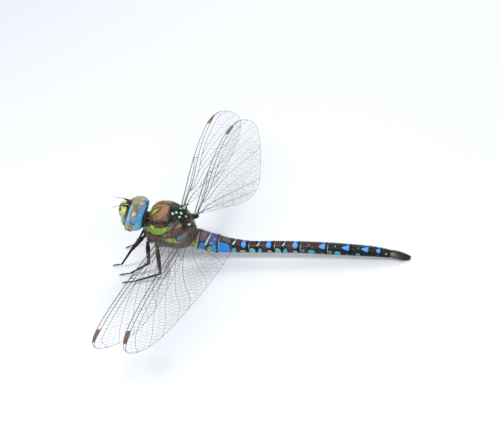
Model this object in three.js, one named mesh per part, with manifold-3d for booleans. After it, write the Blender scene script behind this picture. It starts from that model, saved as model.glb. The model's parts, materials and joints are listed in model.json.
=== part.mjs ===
// Migrant hawker dragonfly, a male at life size, resting on level ground with its wings spread.
// Millimetres, +Z up. The head points to -X, the tail to +X, and the left side faces -Y.
// It stands on six feet and on the tips of the tail claspers, all flat at z = 0.
import * as THREE from "three";
import { mergeVertices } from "three/addons/utils/BufferGeometryUtils.js";
import Module from "manifold-3d";

const wasm = await Module();
wasm.setup();

// ---- Driving dimensions ----

const GAP = 0.3; // clearance between neighbouring pieces
const THIN = 0.5; // least thickness of a wing, a feeler or a limb
const BODY_SIDES = 14; // flats round an abdominal segment
const TRUNK_SIDES = 24; // flats round the thorax
const EYE_SIDES = 22; // flats round the two eyes
const EYE_STEPS = 9; // sections from the middle of the head out to an eye's side
const BODY_POWER = 2.2; // body sections are superellipses of this power: 2 would be an ellipse
const LIMB_SIDES = 8; // flats round a limb
const LEFT = -1;
const RIGHT = 1;

// The abdomen: where each segment starts along the body, how high its axis is there,
// and its half height and half width. The last row is the rear rim of segment 10.
const ABDOMEN = [
  { x: -14.3, z: 5.1, high: 1.85, wide: 1.7 },
  { x: -13.35, z: 4.8, high: 2.0, wide: 1.9 },
  { x: -9.45, z: 3.62, high: 1.88, wide: 1.82 },
  { x: -3.0, z: 2.85, high: 1.15, wide: 1.18 },
  { x: 2.4, z: 2.84, high: 1.14, wide: 1.2 },
  { x: 7.7, z: 2.74, high: 1.14, wide: 1.22 },
  { x: 13.2, z: 2.46, high: 1.14, wide: 1.24 },
  { x: 18.0, z: 2.13, high: 1.07, wide: 1.2 },
  { x: 21.95, z: 1.78, high: 0.97, wide: 1.1 },
  { x: 23.9, z: 1.5, high: 0.87, wide: 0.98 },
  { x: 25.6, z: 1.2, high: 0.68, wide: 0.84 },
];
const WAIST = { segment: 2, skew: 0.5, high: 0.93, wide: 0.9 }; // how far segment 3 is drawn in
const LOBED_SEGMENT = 1; // segment 2 has a side lobe on each flank
const FRONT_TUCK = { size: 0.94, share: 0.08 }; // a segment's front slips inside the one before
const RIM = { start: 0.88, reach: 0.1, swell: 1.05 }; // the raised rear rim of a segment

// The thorax: sections from the neck to the first abdominal segment. Each leans back by lean
// for each unit up, as a dragonfly's trunk does.
const THORAX = [
  { x: -22.75, z: 9.3, high: 2.1, wide: 1.5, lean: 0.24 },
  { x: -22.35, z: 9.2, high: 3.6, wide: 2.55, lean: 0.24 },
  { x: -21.45, z: 9.0, high: 4.4, wide: 3.2, lean: 0.24 },
  { x: -20.0, z: 8.7, high: 4.75, wide: 3.55, lean: 0.24 },
  { x: -18.4, z: 8.25, high: 4.75, wide: 3.6, lean: 0.26 },
  { x: -17.0, z: 7.7, high: 4.4, wide: 3.4, lean: 0.3 },
  { x: -15.9, z: 7.0, high: 3.8, wide: 3.0, lean: 0.34 },
  { x: -15.1, z: 6.3, high: 3.0, wide: 2.45, lean: 0.36 },
  { x: -14.65, z: 5.75, high: 2.2, wide: 1.9, lean: 0.34 },
];
// Rounded swellings on the thorax: centre and half sizes. The paired ones have a y.
const NOTUM = [
  { x: -16.7, y: 0, z: 11.75, long: 1.3, wide: 1.15, high: 0.85 },
  { x: -14.9, y: 0, z: 9.15, long: 1.0, wide: 1.2, high: 0.9 },
];
const WING_HINGE = { long: 1.15, wide: 0.75, high: 0.6, inset: 1.1 };
const COXAE = [
  { x: -23.75, y: 0.95, z: 6.9, long: 1.0, wide: 0.6, high: 0.85 },
  { x: -23.2, y: 1.45, z: 5.75, long: 0.85, wide: 0.65, high: 0.75 },
  { x: -21.5, y: 1.75, z: 4.95, long: 0.9, wide: 0.7, high: 0.75 },
];
// The side lobes of segment 2.
const AURICLE = { x: -12.1, y: 1.95, z: 4.0, long: 0.55, wide: 0.45, high: 0.4 };

// The head, in its own frame: the origin is the neck joint and the face points to -X.
const HEAD = { x: -22.9, z: 10.95, turn: THREE.MathUtils.degToRad(9) };
const EYES = { x: -2.45, z: 0.5, long: 2.8, wide: 4.4, high: 3.1, lean: 0.12 };
const EYE_GROOVE = { deep: 0.07, wide: 0.6 }; // the dip along the seam where the eyes meet
const EYE_REAR = { x: -0.95, lean: 0.36 }; // the plane that ends both eyes behind
const EYE_POLE = 0.997; // the eye's outermost section, as a share of the half width
const SKULL = { x: -2.4, z: -0.9, long: 1.9, wide: 1.75, high: 2.0 };
const NAPE = { x: -0.75, z: 0.3, long: 0.45, wide: 3.6, high: 2.6, lean: 0.36 };
const FRONS = { x: -4.35, z: 1.85, long: 1.55, wide: 1.95, high: 1.4 };
const CLYPEUS = { x: -4.95, z: -0.3, long: 1.05, wide: 2.1, high: 0.85 };
const LABRUM = { x: -4.75, z: -1.75, long: 1.05, wide: 1.6, high: 0.85 };
const NECK_SIDES = 12;
const NECK = { front: -24.2, rear: -22.95, z: 10.1, thin: 0.8, thick: 1.35 };
const FEELER = { base: [-4.9, 1.15, 3.35], tip: [-7.2, 2.2, 3.6], thick: 0.6 };

// The wings. An outline row is the share of the span, the place of the front edge behind the
// root, and the chord from there to the rear edge, the last two in millimetres.
const FOREWING = {
  root: new THREE.Vector3(-16.75, 3.15, 11.0),
  span: 38.5,
  sweep: THREE.MathUtils.degToRad(-7),
  rise: THREE.MathUtils.degToRad(1),
  outline: [[0, 0, 1.5], [0.06, -0.1, 2.9], [0.14, -0.2, 5.6], [0.3, -0.4, 7.6], [0.5, -0.5, 8.9],
    [0.7, -0.3, 9.2], [0.85, 0.2, 8.4], [0.94, 1.0, 6.3], [0.985, 2.1, 3.4], [1, 3.2, 0.8]],
};
const HINDWING = {
  root: new THREE.Vector3(-14.25, 3.0, 9.15),
  span: 37.5,
  sweep: THREE.MathUtils.degToRad(-3.5),
  rise: THREE.MathUtils.degToRad(1),
  outline: [[0, 0, 1.9], [0.035, -0.1, 5.4], [0.09, -0.25, 10.2], [0.2, -0.45, 12.3],
    [0.35, -0.6, 12.3], [0.55, -0.6, 11.2], [0.75, -0.25, 9.3], [0.88, 0.4, 7.3],
    [0.96, 1.5, 4.6], [0.99, 2.5, 2.4], [1, 3.3, 0.8]],
};
const WING_STEPS = 20;
const WING_SIDES = 8;
const WING_POWER = 3; // a wing's section is a rounded strip
const WING_TILT = 0.05; // how far a wing's front edge dips, for each millimetre of chord

// The legs, on the left side. hip, knee, ankle and toe are joint centres.
// The three pieces of a leg are the thigh, the shin and the foot.
const LEGS = [
  {
    name: "front",
    hip: [-24.6, 1.05, 6.3],
    knee: [-27.1, 3.8, 4.6],
    ankle: [-30.2, 3.6, 0.85],
    toe: [-32.5, 3.1, 0.22],
  },
  {
    name: "middle",
    hip: [-24.0, 1.75, 5.2],
    knee: [-23.0, 5.7, 2.7],
    ankle: [-27.2, 6.5, 0.75],
    toe: [-29.9, 6.3, 0.22],
  },
  {
    name: "hind",
    hip: [-22.0, 2.1, 4.5],
    knee: [-20.0, 7.9, 1.75],
    ankle: [-25.2, 9.0, 0.7],
    toe: [-28.4, 8.9, 0.22],
  },
];
const HIP_CLEAR = 0.4; // from a hip's centre to where the thigh starts
const SOLE = 1.4; // the length of a foot that lies flat
const THIGH = { root: 0.42, middle: 0.46, end: 0.36 };
const SHIN = { root: 0.34, end: 0.27 };
const FOOT = { root: 0.27, end: 0.26 };
const RIGHT_LEG_SHIFT = { front: 0.7, middle: -0.5, hind: 0.4 }; // the right feet's places along the body

// The claspers at the tail's end: two long blades above and a short triangle below.
const CERCUS = {
  path: [[25.75, 1.42], [26.8, 1.05], [28.2, 0.5], [29.5, 0.24]],
  apart: 0.56,
  wide: [0.26, 0.34, 0.4, 0.26],
  high: [0.27, 0.3, 0.28, 0.25],
};
const EPIPROCT = { path: [[25.85, 0.62], [26.8, 0.42], [27.7, 0.3]], wide: [0.5, 0.36, 0.25], high: 0.25 };

// ---- Finishes ----

const FINISH = {
  eye: { color: 0x5aa0c4, roughness: 0.25 },
  face: { color: 0xc3c86e, roughness: 0.5 },
  dark: { color: 0x1d1a1c, roughness: 0.45 },
  thorax: { color: 0x7a5a3c, roughness: 0.7 },
  abdomen: { color: 0x4a2f30, roughness: 0.45 },
  wing: { color: 0xd8dcd8, roughness: 0.2 },
};

const part = new THREE.Group();

/** A named mesh with its own material. */
function piece(name, geometry, finish) {
  const mesh = new THREE.Mesh(geometry, new THREE.MeshStandardMaterial({ metalness: 0, ...FINISH[finish] }));
  mesh.name = name;
  return mesh;
}

// ---- Shapes ----

/** A closed body through rings of {at, across, up}. across x up points along the body. */
function loft(rings, sides, power = 2) {
  const corners = [];
  const faces = [];
  const round = (value) => Math.sign(value) * Math.abs(value) ** (2 / power);
  for (const { at, across, up } of rings) {
    for (let i = 0; i < sides; i++) {
      const turn = (2 * Math.PI * i) / sides;
      const point = at.clone().addScaledVector(across, round(Math.cos(turn)));
      point.addScaledVector(up, round(Math.sin(turn)));
      corners.push(point.x, point.y, point.z);
    }
  }
  for (const { at } of [rings[0], rings[rings.length - 1]]) corners.push(at.x, at.y, at.z);
  const startHub = rings.length * sides;
  for (let i = 0; i < sides; i++) {
    const next = (i + 1) % sides;
    for (let ring = 0; ring < rings.length - 1; ring++) {
      const here = ring * sides;
      const there = here + sides;
      faces.push(here + i, here + next, there + i, here + next, there + next, there + i);
    }
    const last = (rings.length - 1) * sides;
    faces.push(startHub, next, i, startHub + 1, last + i, last + next);
  }
  const geometry = new THREE.BufferGeometry();
  geometry.setAttribute("position", new THREE.Float32BufferAttribute(corners, 3));
  geometry.setIndex(faces);
  return geometry;
}

/** A body round a path: at each point it has a half width and a half height. */
function limb(points, wide, high, sides = LIMB_SIDES) {
  const path = points.map((point) => new THREE.Vector3(...point));
  const rings = path.map((at, i) => {
    const before = path[Math.max(i - 1, 0)];
    const after = path[Math.min(i + 1, path.length - 1)];
    const way = after.clone().sub(before).normalize();
    const across = new THREE.Vector3(0, 0, 1).cross(way).normalize();
    const up = way.clone().cross(across);
    return { at, across: across.multiplyScalar(wide[i]), up: up.multiplyScalar(high[i]) };
  });
  return loft(rings, sides);
}

/** An ellipsoid with its centre and half sizes given. It leans back by lean for each unit up. */
function ellipsoid({ x, y = 0, z, long, wide, high, lean = 0 }, grown = 0, around = 14, down = 8) {
  const geometry = new THREE.SphereGeometry(1, around, down);
  geometry.rotateX(Math.PI / 2);
  geometry.scale(long + grown, wide + grown, high + grown);
  geometry.applyMatrix4(new THREE.Matrix4().makeShear(0, 0, 0, 0, lean, 0));
  return geometry.translate(x, y, z);
}

/** Presses whatever hangs below the ground flat onto it. */
function settle(geometry) {
  const places = geometry.getAttribute("position");
  for (let i = 0; i < places.count; i++) places.setZ(i, Math.max(places.getZ(i), 0));
  return geometry;
}

/** A geometry as a solid that can be cut and joined. */
function solid(geometry) {
  const bare = new THREE.BufferGeometry();
  bare.setAttribute("position", geometry.getAttribute("position"));
  if (geometry.index) bare.setIndex(geometry.index);
  const merged = mergeVertices(bare, 1e-4);
  return new wasm.Manifold(
    new wasm.Mesh({
      numProp: 3,
      vertProperties: new Float32Array(merged.attributes.position.array),
      triVerts: new Uint32Array(merged.index.array),
    }),
  );
}

/** A solid back as a geometry. */
function surface(body) {
  const { vertProperties, triVerts } = body.getMesh();
  const geometry = new THREE.BufferGeometry();
  geometry.setAttribute("position", new THREE.BufferAttribute(vertProperties, 3));
  geometry.setIndex(new THREE.BufferAttribute(triVerts, 1));
  return geometry;
}

// ---- Head ----

/** Half of the dome that the two eyes form, from its groove out to one side. */
function eyeDome(side) {
  const rings = [];
  for (let i = 0; i <= EYE_STEPS; i++) {
    const share = Math.sin((Math.PI / 2) * (i / EYE_STEPS));
    const out = THREE.MathUtils.lerp(GAP / 2, EYES.wide * EYE_POLE, share);
    const dip = 1 - EYE_GROOVE.deep * Math.exp(-((out / EYE_GROOVE.wide) ** 2));
    const size = Math.sqrt(1 - (out / EYES.wide) ** 2) * dip;
    const up = EYES.high * size;
    rings.push({
      at: new THREE.Vector3(EYES.x, side * out, EYES.z),
      across: new THREE.Vector3(-side * EYES.long * size, 0, 0),
      up: new THREE.Vector3(EYES.lean * up, 0, up),
    });
  }
  return loft(rings, EYE_SIDES);
}

/** A block that takes away everything behind the eyes' rear plane. */
function behindEyes() {
  const block = new THREE.BoxGeometry(4, 12, 12);
  block.translate(2, 0, 0);
  block.applyMatrix4(new THREE.Matrix4().makeShear(0, 0, 0, 0, EYE_REAR.lean, 0));
  return block.translate(EYE_REAR.x, 0, 0);
}

/** The neck collar in the head's frame, grown by a clearance. */
function neckInHead(grown) {
  const collar = neckCollar(grown);
  collar.translate(-HEAD.x, 0, -HEAD.z);
  return collar.rotateZ(-HEAD.turn);
}

/** The neck and collar, from inside the hollow nape to the thorax. */
function neckCollar(grown = 0) {
  const ring = (x, size) => ({
    at: new THREE.Vector3(x, 0, NECK.z),
    across: new THREE.Vector3(0, size + grown, 0),
    up: new THREE.Vector3(0, 0, size + grown),
  });
  const middle = (NECK.front + NECK.rear) / 2;
  const rings = [
    ring(NECK.front - grown, NECK.thin),
    ring(middle, NECK.thick),
    ring(NECK.rear + grown, NECK.thick),
  ];
  return loft(rings, NECK_SIDES);
}

function buildHead() {
  const head = new THREE.Group();
  head.position.set(HEAD.x, 0, HEAD.z);
  head.rotation.z = HEAD.turn;

  const frons = solid(ellipsoid(FRONS));
  const clypeus = solid(ellipsoid(CLYPEUS)).subtract(solid(ellipsoid(FRONS, GAP)));
  const labrum = solid(ellipsoid(LABRUM)).subtract(solid(ellipsoid(CLYPEUS, GAP)));
  const faceRoom = solid(ellipsoid(FRONS, GAP))
    .add(solid(ellipsoid(CLYPEUS, GAP)))
    .add(solid(ellipsoid(LABRUM, GAP)));
  const neckRoom = solid(neckInHead(GAP));
  const skull = solid(ellipsoid(SKULL)).add(solid(ellipsoid(NAPE))).subtract(faceRoom).subtract(neckRoom);
  head.add(piece("head_skull", surface(skull), "dark"));
  head.add(piece("head_frons", surface(frons), "face"));
  head.add(piece("head_clypeus", surface(clypeus), "face"));
  head.add(piece("head_labrum", surface(labrum), "face"));

  const skullRoom = solid(ellipsoid(SKULL, GAP)).add(solid(ellipsoid(NAPE, GAP)));
  const taken = faceRoom.add(skullRoom).add(solid(behindEyes())).add(neckRoom);
  for (const [word, side] of [["left", LEFT], ["right", RIGHT]]) {
    const parts = solid(eyeDome(side)).subtract(taken).decompose();
    const eye = parts.reduce((best, one) => (one.volume() > best.volume() ? one : best));
    head.add(piece(`eye_${word}`, surface(eye), "eye"));
    const [base, tip] = [FEELER.base, FEELER.tip].map(([x, y, z]) => [x, side * y, z]);
    const bend = base.map((value, i) => (value + tip[i]) / 2 + (i === 2 ? 0.15 : 0));
    const half = [FEELER.thick / 2, THIN / 2, THIN / 2];
    head.add(piece(`antenna_${word}`, limb([base, bend, tip], half, half, 6), "dark"));
  }
  return head;
}

// ---- Trunk ----

function buildThorax() {
  const rings = THORAX.map(({ x, z, high, wide, lean }) => ({
    at: new THREE.Vector3(x, 0, z),
    across: new THREE.Vector3(0, wide, 0),
    up: new THREE.Vector3(lean * high, 0, high),
  }));
  let trunk = solid(loft(rings, TRUNK_SIDES, BODY_POWER));
  const lump = (size) => trunk.add(solid(ellipsoid(size, 0, 8, 6)));
  for (const hump of NOTUM) trunk = lump(hump);
  for (const side of [LEFT, RIGHT]) {
    for (const coxa of COXAE) trunk = lump({ ...coxa, y: side * coxa.y });
    for (const { root, outline } of [FOREWING, HINDWING]) {
      const [, , chord] = outline[0];
      trunk = lump({ ...WING_HINGE, x: root.x + chord / 4, y: side * (root.y - WING_HINGE.inset), z: root.z });
    }
  }
  return piece("thorax", surface(trunk), "thorax");
}

/** The abdomen's axis and its half sizes as smooth curves over its length. */
const abdomenAxis = new THREE.SplineCurve(ABDOMEN.map(({ x, z }) => new THREE.Vector2(x, z)));

/** One ring of the abdomen, at a share of the way along a segment. */
function abdomenRing(segment, share, swell) {
  const count = ABDOMEN.length - 1;
  const place = (segment + share) / count;
  const { x, y: z } = abdomenAxis.getPoint(place);
  const { x: wayX, y: wayZ } = abdomenAxis.getTangent(place);
  const [near, far] = [ABDOMEN[segment], ABDOMEN[segment + 1]];
  const drawn = segment === WAIST.segment ? Math.sin(Math.PI * share ** WAIST.skew) : 0;
  const high = THREE.MathUtils.lerp(near.high, far.high, share) * swell * (1 - (1 - WAIST.high) * drawn);
  const wide = THREE.MathUtils.lerp(near.wide, far.wide, share) * swell * (1 - (1 - WAIST.wide) * drawn);
  return {
    at: new THREE.Vector3(x, 0, z),
    across: new THREE.Vector3(0, wide, 0),
    up: new THREE.Vector3(-wayZ, 0, wayX).multiplyScalar(high),
  };
}

function buildAbdomen() {
  const abdomen = new THREE.Group();
  for (let segment = 0; segment < ABDOMEN.length - 1; segment++) {
    const length = ABDOMEN[segment + 1].x - ABDOMEN[segment].x;
    const start = GAP / length;
    const rim = 1 - RIM.reach / length;
    const rings = [
      abdomenRing(segment, start, FRONT_TUCK.size),
      abdomenRing(segment, start + FRONT_TUCK.share, 1),
      abdomenRing(segment, 0.5, 1),
      abdomenRing(segment, RIM.start, 1),
      abdomenRing(segment, rim, RIM.swell),
      abdomenRing(segment, 1, RIM.swell),
    ];
    const number = String(segment + 1).padStart(2, "0");
    let body = loft(rings, BODY_SIDES, BODY_POWER);
    if (segment === LOBED_SEGMENT) {
      const lobe = (side) => solid(ellipsoid({ ...AURICLE, y: side * AURICLE.y }, 0, 8, 6));
      body = surface(solid(body).add(lobe(LEFT)).add(lobe(RIGHT)));
    }
    abdomen.add(piece(`abdomen_${number}`, body, "abdomen"));
  }
  return abdomen;
}

function buildClaspers() {
  const claspers = new THREE.Group();
  for (const [word, side] of [["left", LEFT], ["right", RIGHT]]) {
    const path = CERCUS.path.map(([x, z]) => [x, side * CERCUS.apart, z]);
    claspers.add(piece(`clasper_${word}`, settle(limb(path, CERCUS.wide, CERCUS.high)), "dark"));
  }
  const path = EPIPROCT.path.map(([x, z]) => [x, 0, z]);
  const high = EPIPROCT.path.map(() => EPIPROCT.high);
  claspers.add(piece("clasper_lower", settle(limb(path, EPIPROCT.wide, high)), "dark"));
  return claspers;
}

// ---- Wings ----

/** A thin cambered blade from its root out to its tip. */
function buildWing(name, wing, side) {
  const outline = new THREE.CatmullRomCurve3(wing.outline.map((row) => new THREE.Vector3(...row)));
  const rings = [];
  for (let i = 0; i <= WING_STEPS; i++) {
    const { x: share, y: lead, z: chord } = outline.getPoint(i / WING_STEPS);
    const out = share * wing.span;
    const middle = lead + chord / 2 + out * Math.tan(wing.sweep);
    rings.push({
      at: new THREE.Vector3(middle, side * out, out * Math.tan(wing.rise)),
      across: new THREE.Vector3((-side * chord) / 2, 0, (-side * chord * WING_TILT) / 2),
      up: new THREE.Vector3(0, 0, THIN / 2),
    });
  }
  const mesh = piece(name, loft(rings, WING_SIDES, WING_POWER), "wing");
  mesh.position.set(wing.root.x, side * wing.root.y, wing.root.z);
  return mesh;
}

// ---- Legs ----

/** A point at a distance from one joint towards the next. */
function towards(from, to, distance) {
  const way = new THREE.Vector3(...to).sub(new THREE.Vector3(...from)).normalize();
  return new THREE.Vector3(...from).addScaledVector(way, distance).toArray();
}

function buildLeg(leg, side) {
  const place = ([x, y, z], shift = 0) => [x + shift, side * y, z];
  const shift = side === RIGHT ? RIGHT_LEG_SHIFT[leg.name] : 0;
  const hip = place(leg.hip);
  const knee = place(leg.knee, shift / 2);
  const ankle = place(leg.ankle, shift);
  const toe = place(leg.toe, shift);
  const word = side === LEFT ? "left" : "right";
  const group = new THREE.Group();

  const thighLength = new THREE.Vector3(...hip).distanceTo(new THREE.Vector3(...knee));
  const thigh = [towards(hip, knee, HIP_CLEAR), towards(hip, knee, thighLength * 0.4), knee];
  const thighHalf = [THIGH.root, THIGH.middle, THIGH.end];
  group.add(piece(`leg_${leg.name}_${word}_femur`, limb(thigh, thighHalf, thighHalf), "dark"));

  const clear = THIGH.end * 0.6 + GAP;
  const shin = [towards(knee, ankle, clear), ankle];
  const shinHalf = [SHIN.root, SHIN.end];
  group.add(piece(`leg_${leg.name}_${word}_tibia`, limb(shin, shinHalf, shinHalf), "dark"));

  const heel = towards(ankle, toe, SHIN.end + GAP);
  const sole = towards(toe, ankle, SOLE);
  sole[2] = toe[2];
  const footHalf = [FOOT.root, FOOT.end, FOOT.end];
  group.add(piece(`leg_${leg.name}_${word}_tarsus`, settle(limb([heel, sole, toe], footHalf, footHalf)), "dark"));
  return group;
}

// ---- The whole insect ----

part.add(buildHead());
part.add(piece("neck", neckCollar(), "dark"));
part.add(buildThorax());
part.add(buildAbdomen());
part.add(buildClaspers());
for (const [word, side] of [["left", LEFT], ["right", RIGHT]]) {
  part.add(buildWing(`forewing_${word}`, FOREWING, side));
  part.add(buildWing(`hindwing_${word}`, HINDWING, side));
  for (const leg of LEGS) part.add(buildLeg(leg, side));
}

// The origin is the middle of the underside of the box round the whole insect.
const box = new THREE.Box3().setFromObject(part, true);
part.position.set(-(box.min.x + box.max.x) / 2, -(box.min.y + box.max.y) / 2, -box.min.z);
part.updateMatrixWorld(true);

export default part;
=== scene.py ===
"""The looks of a migrant hawker dragonfly: a male at life size, standing with its wings spread.

Every shape is worked out in the insect's own millimetres: the head points to -X, the left side
faces -Y and the ground is z = 0. Shop.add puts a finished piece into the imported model's frame, in
metres. The values that a finish reads, such as the place on the body or how far round it a point
lies, are stored on the mesh as attributes.
"""

from __future__ import annotations

import json
import logging
import math
from collections.abc import Callable, Sequence
from dataclasses import asdict, dataclass, field, replace
from enum import Enum
from itertools import pairwise

import bpy
import numpy as np
from mathutils import Matrix, Vector

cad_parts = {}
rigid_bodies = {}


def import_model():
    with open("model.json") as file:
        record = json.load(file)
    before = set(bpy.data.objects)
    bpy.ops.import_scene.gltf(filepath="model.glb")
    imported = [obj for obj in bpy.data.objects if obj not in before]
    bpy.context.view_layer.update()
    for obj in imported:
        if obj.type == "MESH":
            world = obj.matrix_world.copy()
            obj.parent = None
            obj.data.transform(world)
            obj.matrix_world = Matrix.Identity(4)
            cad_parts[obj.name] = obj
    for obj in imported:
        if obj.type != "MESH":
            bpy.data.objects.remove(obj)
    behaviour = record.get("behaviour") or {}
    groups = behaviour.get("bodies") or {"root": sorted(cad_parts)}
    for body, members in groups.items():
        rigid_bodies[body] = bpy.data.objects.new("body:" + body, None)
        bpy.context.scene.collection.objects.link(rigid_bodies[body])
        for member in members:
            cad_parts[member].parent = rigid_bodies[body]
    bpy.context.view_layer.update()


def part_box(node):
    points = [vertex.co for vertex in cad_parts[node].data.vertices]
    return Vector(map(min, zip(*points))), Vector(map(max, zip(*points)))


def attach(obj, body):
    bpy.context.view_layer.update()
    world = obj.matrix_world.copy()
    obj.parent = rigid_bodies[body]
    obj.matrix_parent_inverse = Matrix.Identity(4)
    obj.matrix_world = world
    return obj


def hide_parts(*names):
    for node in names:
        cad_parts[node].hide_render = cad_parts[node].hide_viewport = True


LOG = logging.getLogger("dragonfly")
MM = 0.001
BODY = "root"
COAT_MAP = "OFBake"
NECK_REAR = -22.95
Triple = tuple[float, float, float]
Four = tuple[float, float, float, float]
Five = tuple[float, float, float, float, float]
Colour = tuple[int, int, int]
Array = np.ndarray
Mesh, Material, Node = bpy.types.Mesh, bpy.types.Material, bpy.types.Node
Tree, Socket = bpy.types.NodeTree, bpy.types.NodeSocket
Values = dict[int | str, object]
Parts = tuple[Array | float, Array | float, Array | float]

# Sockets that share a name with others of their node: of a Mix node, and of a Random Value node.
MIX_UNDER, MIX_OVER, MIX_COLOUR = 6, 7, 2
VECTOR_LOW, VECTOR_HIGH, NUMBER_LOW, NUMBER_HIGH, RANDOM_ID, RANDOM_SEED = 0, 1, 2, 3, 7, 8


class Side(Enum):
    """A side of the insect, as the sign of Y there."""

    LEFT = -1
    RIGHT = 1

    @property
    def word(self) -> str:
        """The side's word in a piece's name."""
        return self.name.lower()

    def row(self, row: Sequence[float]) -> tuple[float, ...]:
        """A row that starts with a place, given for the right side, as it is on this side."""
        return (row[0], self.value * row[1], *row[2:])


def paint(colour: Colour) -> Four:
    """A colour given as it is seen, 0 to 255, as the linear values that a shader takes."""
    linear = [((c / 255 + 0.055) / 1.055) ** 2.4 if c > 10 else c / 255 / 12.92 for c in colour]
    return (*linear, 1.0)


def dimmed(colour: Colour, share: float) -> Colour:
    """A darker shade of a colour."""
    return tuple(int(c * share) for c in colour)


def ease(value: Array | float, low: float, high: float) -> Array:
    """A smooth step from 0 at low to 1 at high."""
    share = np.clip((np.asarray(value, float) - low) / (high - low), 0, 1)
    return share * share * (3 - 2 * share)


def hump(value: Array | float, centre: float, width: float) -> Array:
    """A smooth hump of height 1 at centre that has died away two widths off."""
    return np.exp(-(((np.asarray(value, float) - centre) / width) ** 2))


def catmull(knots: Array, count: int, spread: float = 0.0) -> Array:
    """Rows along a smooth curve through all the knots.

    Args:
        knots: One row of values for each knot.
        count: How many rows to give.
        spread: How far the rows crowd towards both ends, from 0 to 1.

    Returns:
        The rows, evenly spaced in knots but for the crowding.
    """
    share = np.linspace(0, 1, count)
    share = share - spread * np.sin(2 * np.pi * share) / (2 * np.pi)
    return catmull_at(np.asarray(knots, float), share * (len(knots) - 1))


def catmull_at(knots: Array, place: Array) -> Array:
    """Rows at given places on a smooth curve through all the knots.

    Args:
        knots: One row of values for each knot.
        place: The places, counted in knots.

    Returns:
        One row for each place.
    """
    last = len(knots) - 1
    here = np.clip(np.floor(place).astype(int), 0, last - 1)
    t = (np.asarray(place, float) - here)[:, None]
    before, start = knots[np.maximum(here - 1, 0)], knots[here]
    end, after = knots[here + 1], knots[np.minimum(here + 2, last)]
    way_in, way_out = (end - before) / 2, (after - start) / 2
    cube = 2 * start - 2 * end + way_in + way_out
    square = -3 * start + 3 * end - 2 * way_in - way_out
    return cube * t**3 + square * t**2 + way_in * t + start


def unit(vectors: Array) -> Array:
    """Vectors brought to a length of 1."""
    return vectors / np.linalg.norm(vectors, axis=-1, keepdims=True)


def wheel(count: int) -> Array:
    """The angles of so many even steps round a ring."""
    return 2 * np.pi * np.arange(count) / count


@dataclass
class Surface:
    """A mesh in the making: points, arrays of triangles or quads, and values for the finish."""

    points: Array
    faces: list[Array]
    values: dict[str, Array] = field(default_factory=dict)

    @classmethod
    def joined(cls, parts: Sequence[Surface]) -> Surface:
        """Joins surfaces. Only values that all of them have are kept.

        Args:
            parts: The surfaces.

        Returns:
            One surface of them all.
        """
        starts = np.cumsum([0] + [len(p.points) for p in parts])
        faces = [f + start for p, start in zip(parts, starts) for f in p.faces]
        shared = [key for key in parts[0].values if all(key in p.values for p in parts)]
        values = {key: np.concatenate([p.values[key] for p in parts]) for key in shared}
        return cls(np.concatenate([p.points for p in parts]), faces, values)

    def moved(self, change: Callable[[Array], Array]) -> Surface:
        """This surface with its points changed, and its values kept."""
        return Surface(change(self.points), self.faces, self.values)

    def with_values(self, **values: Array) -> Surface:
        """This surface with other values, and the place of each point."""
        return Surface(self.points, self.faces, values | {"place": self.points})

    def pushed(self, push: Array) -> Surface:
        """This surface with each point moved out along its normal."""
        moved = Surface(self.points + self.normals() * push[:, None], self.faces)
        return moved.with_values()

    def normals(self) -> Array:
        """Works out smooth normals.

        Returns:
            One for each point.
        """
        total = np.zeros_like(self.points)
        for faces in self.faces:
            a, b, c, d = (self.points[faces[:, i]] for i in (0, 1, 2, -1))
            cross = np.cross(c - a, d - b) if faces.shape[1] == 4 else np.cross(b - a, c - a)
            for i in range(faces.shape[1]):
                np.add.at(total, faces[:, i], cross)
        return total / np.maximum(np.linalg.norm(total, axis=1, keepdims=True), 1e-12)

    def mesh(self, name: str) -> Mesh:
        """Makes a smooth Blender mesh, in body millimetres, with the values on its points.

        Args:
            name: The mesh's name.

        Returns:
            The mesh.
        """
        mesh = bpy.data.meshes.new(name)
        rows = [row for faces in self.faces for row in faces.tolist()]
        mesh.from_pydata(self.points.tolist(), [], rows)
        mesh.polygons.foreach_set("use_smooth", [True] * len(rows))
        write_values(mesh, self.values)
        mesh.update()
        return mesh


def write_values(mesh: Mesh, values: dict[str, Array]) -> None:
    """Stores named values on a mesh's points.

    Args:
        mesh: The mesh.
        values: Numbers or vectors by name, one for each point.
    """
    for key, value in values.items():
        kind, item = ("FLOAT_VECTOR", "vector") if value.ndim == 2 else ("FLOAT", "value")
        store = mesh.attributes.new(key, kind, "POINT")
        store.data.foreach_set(item, np.ascontiguousarray(value, np.float32).ravel())


def linked(name: str, data: bpy.types.ID) -> bpy.types.Object:
    """Puts something in the scene.

    Args:
        name: The object's name.
        data: A mesh, a lamp or a camera.

    Returns:
        The object.
    """
    obj = bpy.data.objects.new(name, data)
    bpy.context.scene.collection.objects.link(obj)
    return obj


def settled(obj: bpy.types.Object) -> Mesh:
    """A plain mesh of an object with its modifiers applied."""
    return bpy.data.meshes.new_from_object(obj.evaluated_get(bpy.context.evaluated_depsgraph_get()))


def wires(points: Array, edges: Sequence[tuple[int, int]], **values: Array) -> Mesh:
    """Points and edges for a tree to start from.

    Args:
        points: The points.
        edges: Pairs of their numbers.
        **values: Values of the points.

    Returns:
        The mesh.
    """
    mesh = bpy.data.meshes.new("wires")
    mesh.from_pydata(points.tolist(), edges, [])
    write_values(mesh, values)
    return mesh


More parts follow.
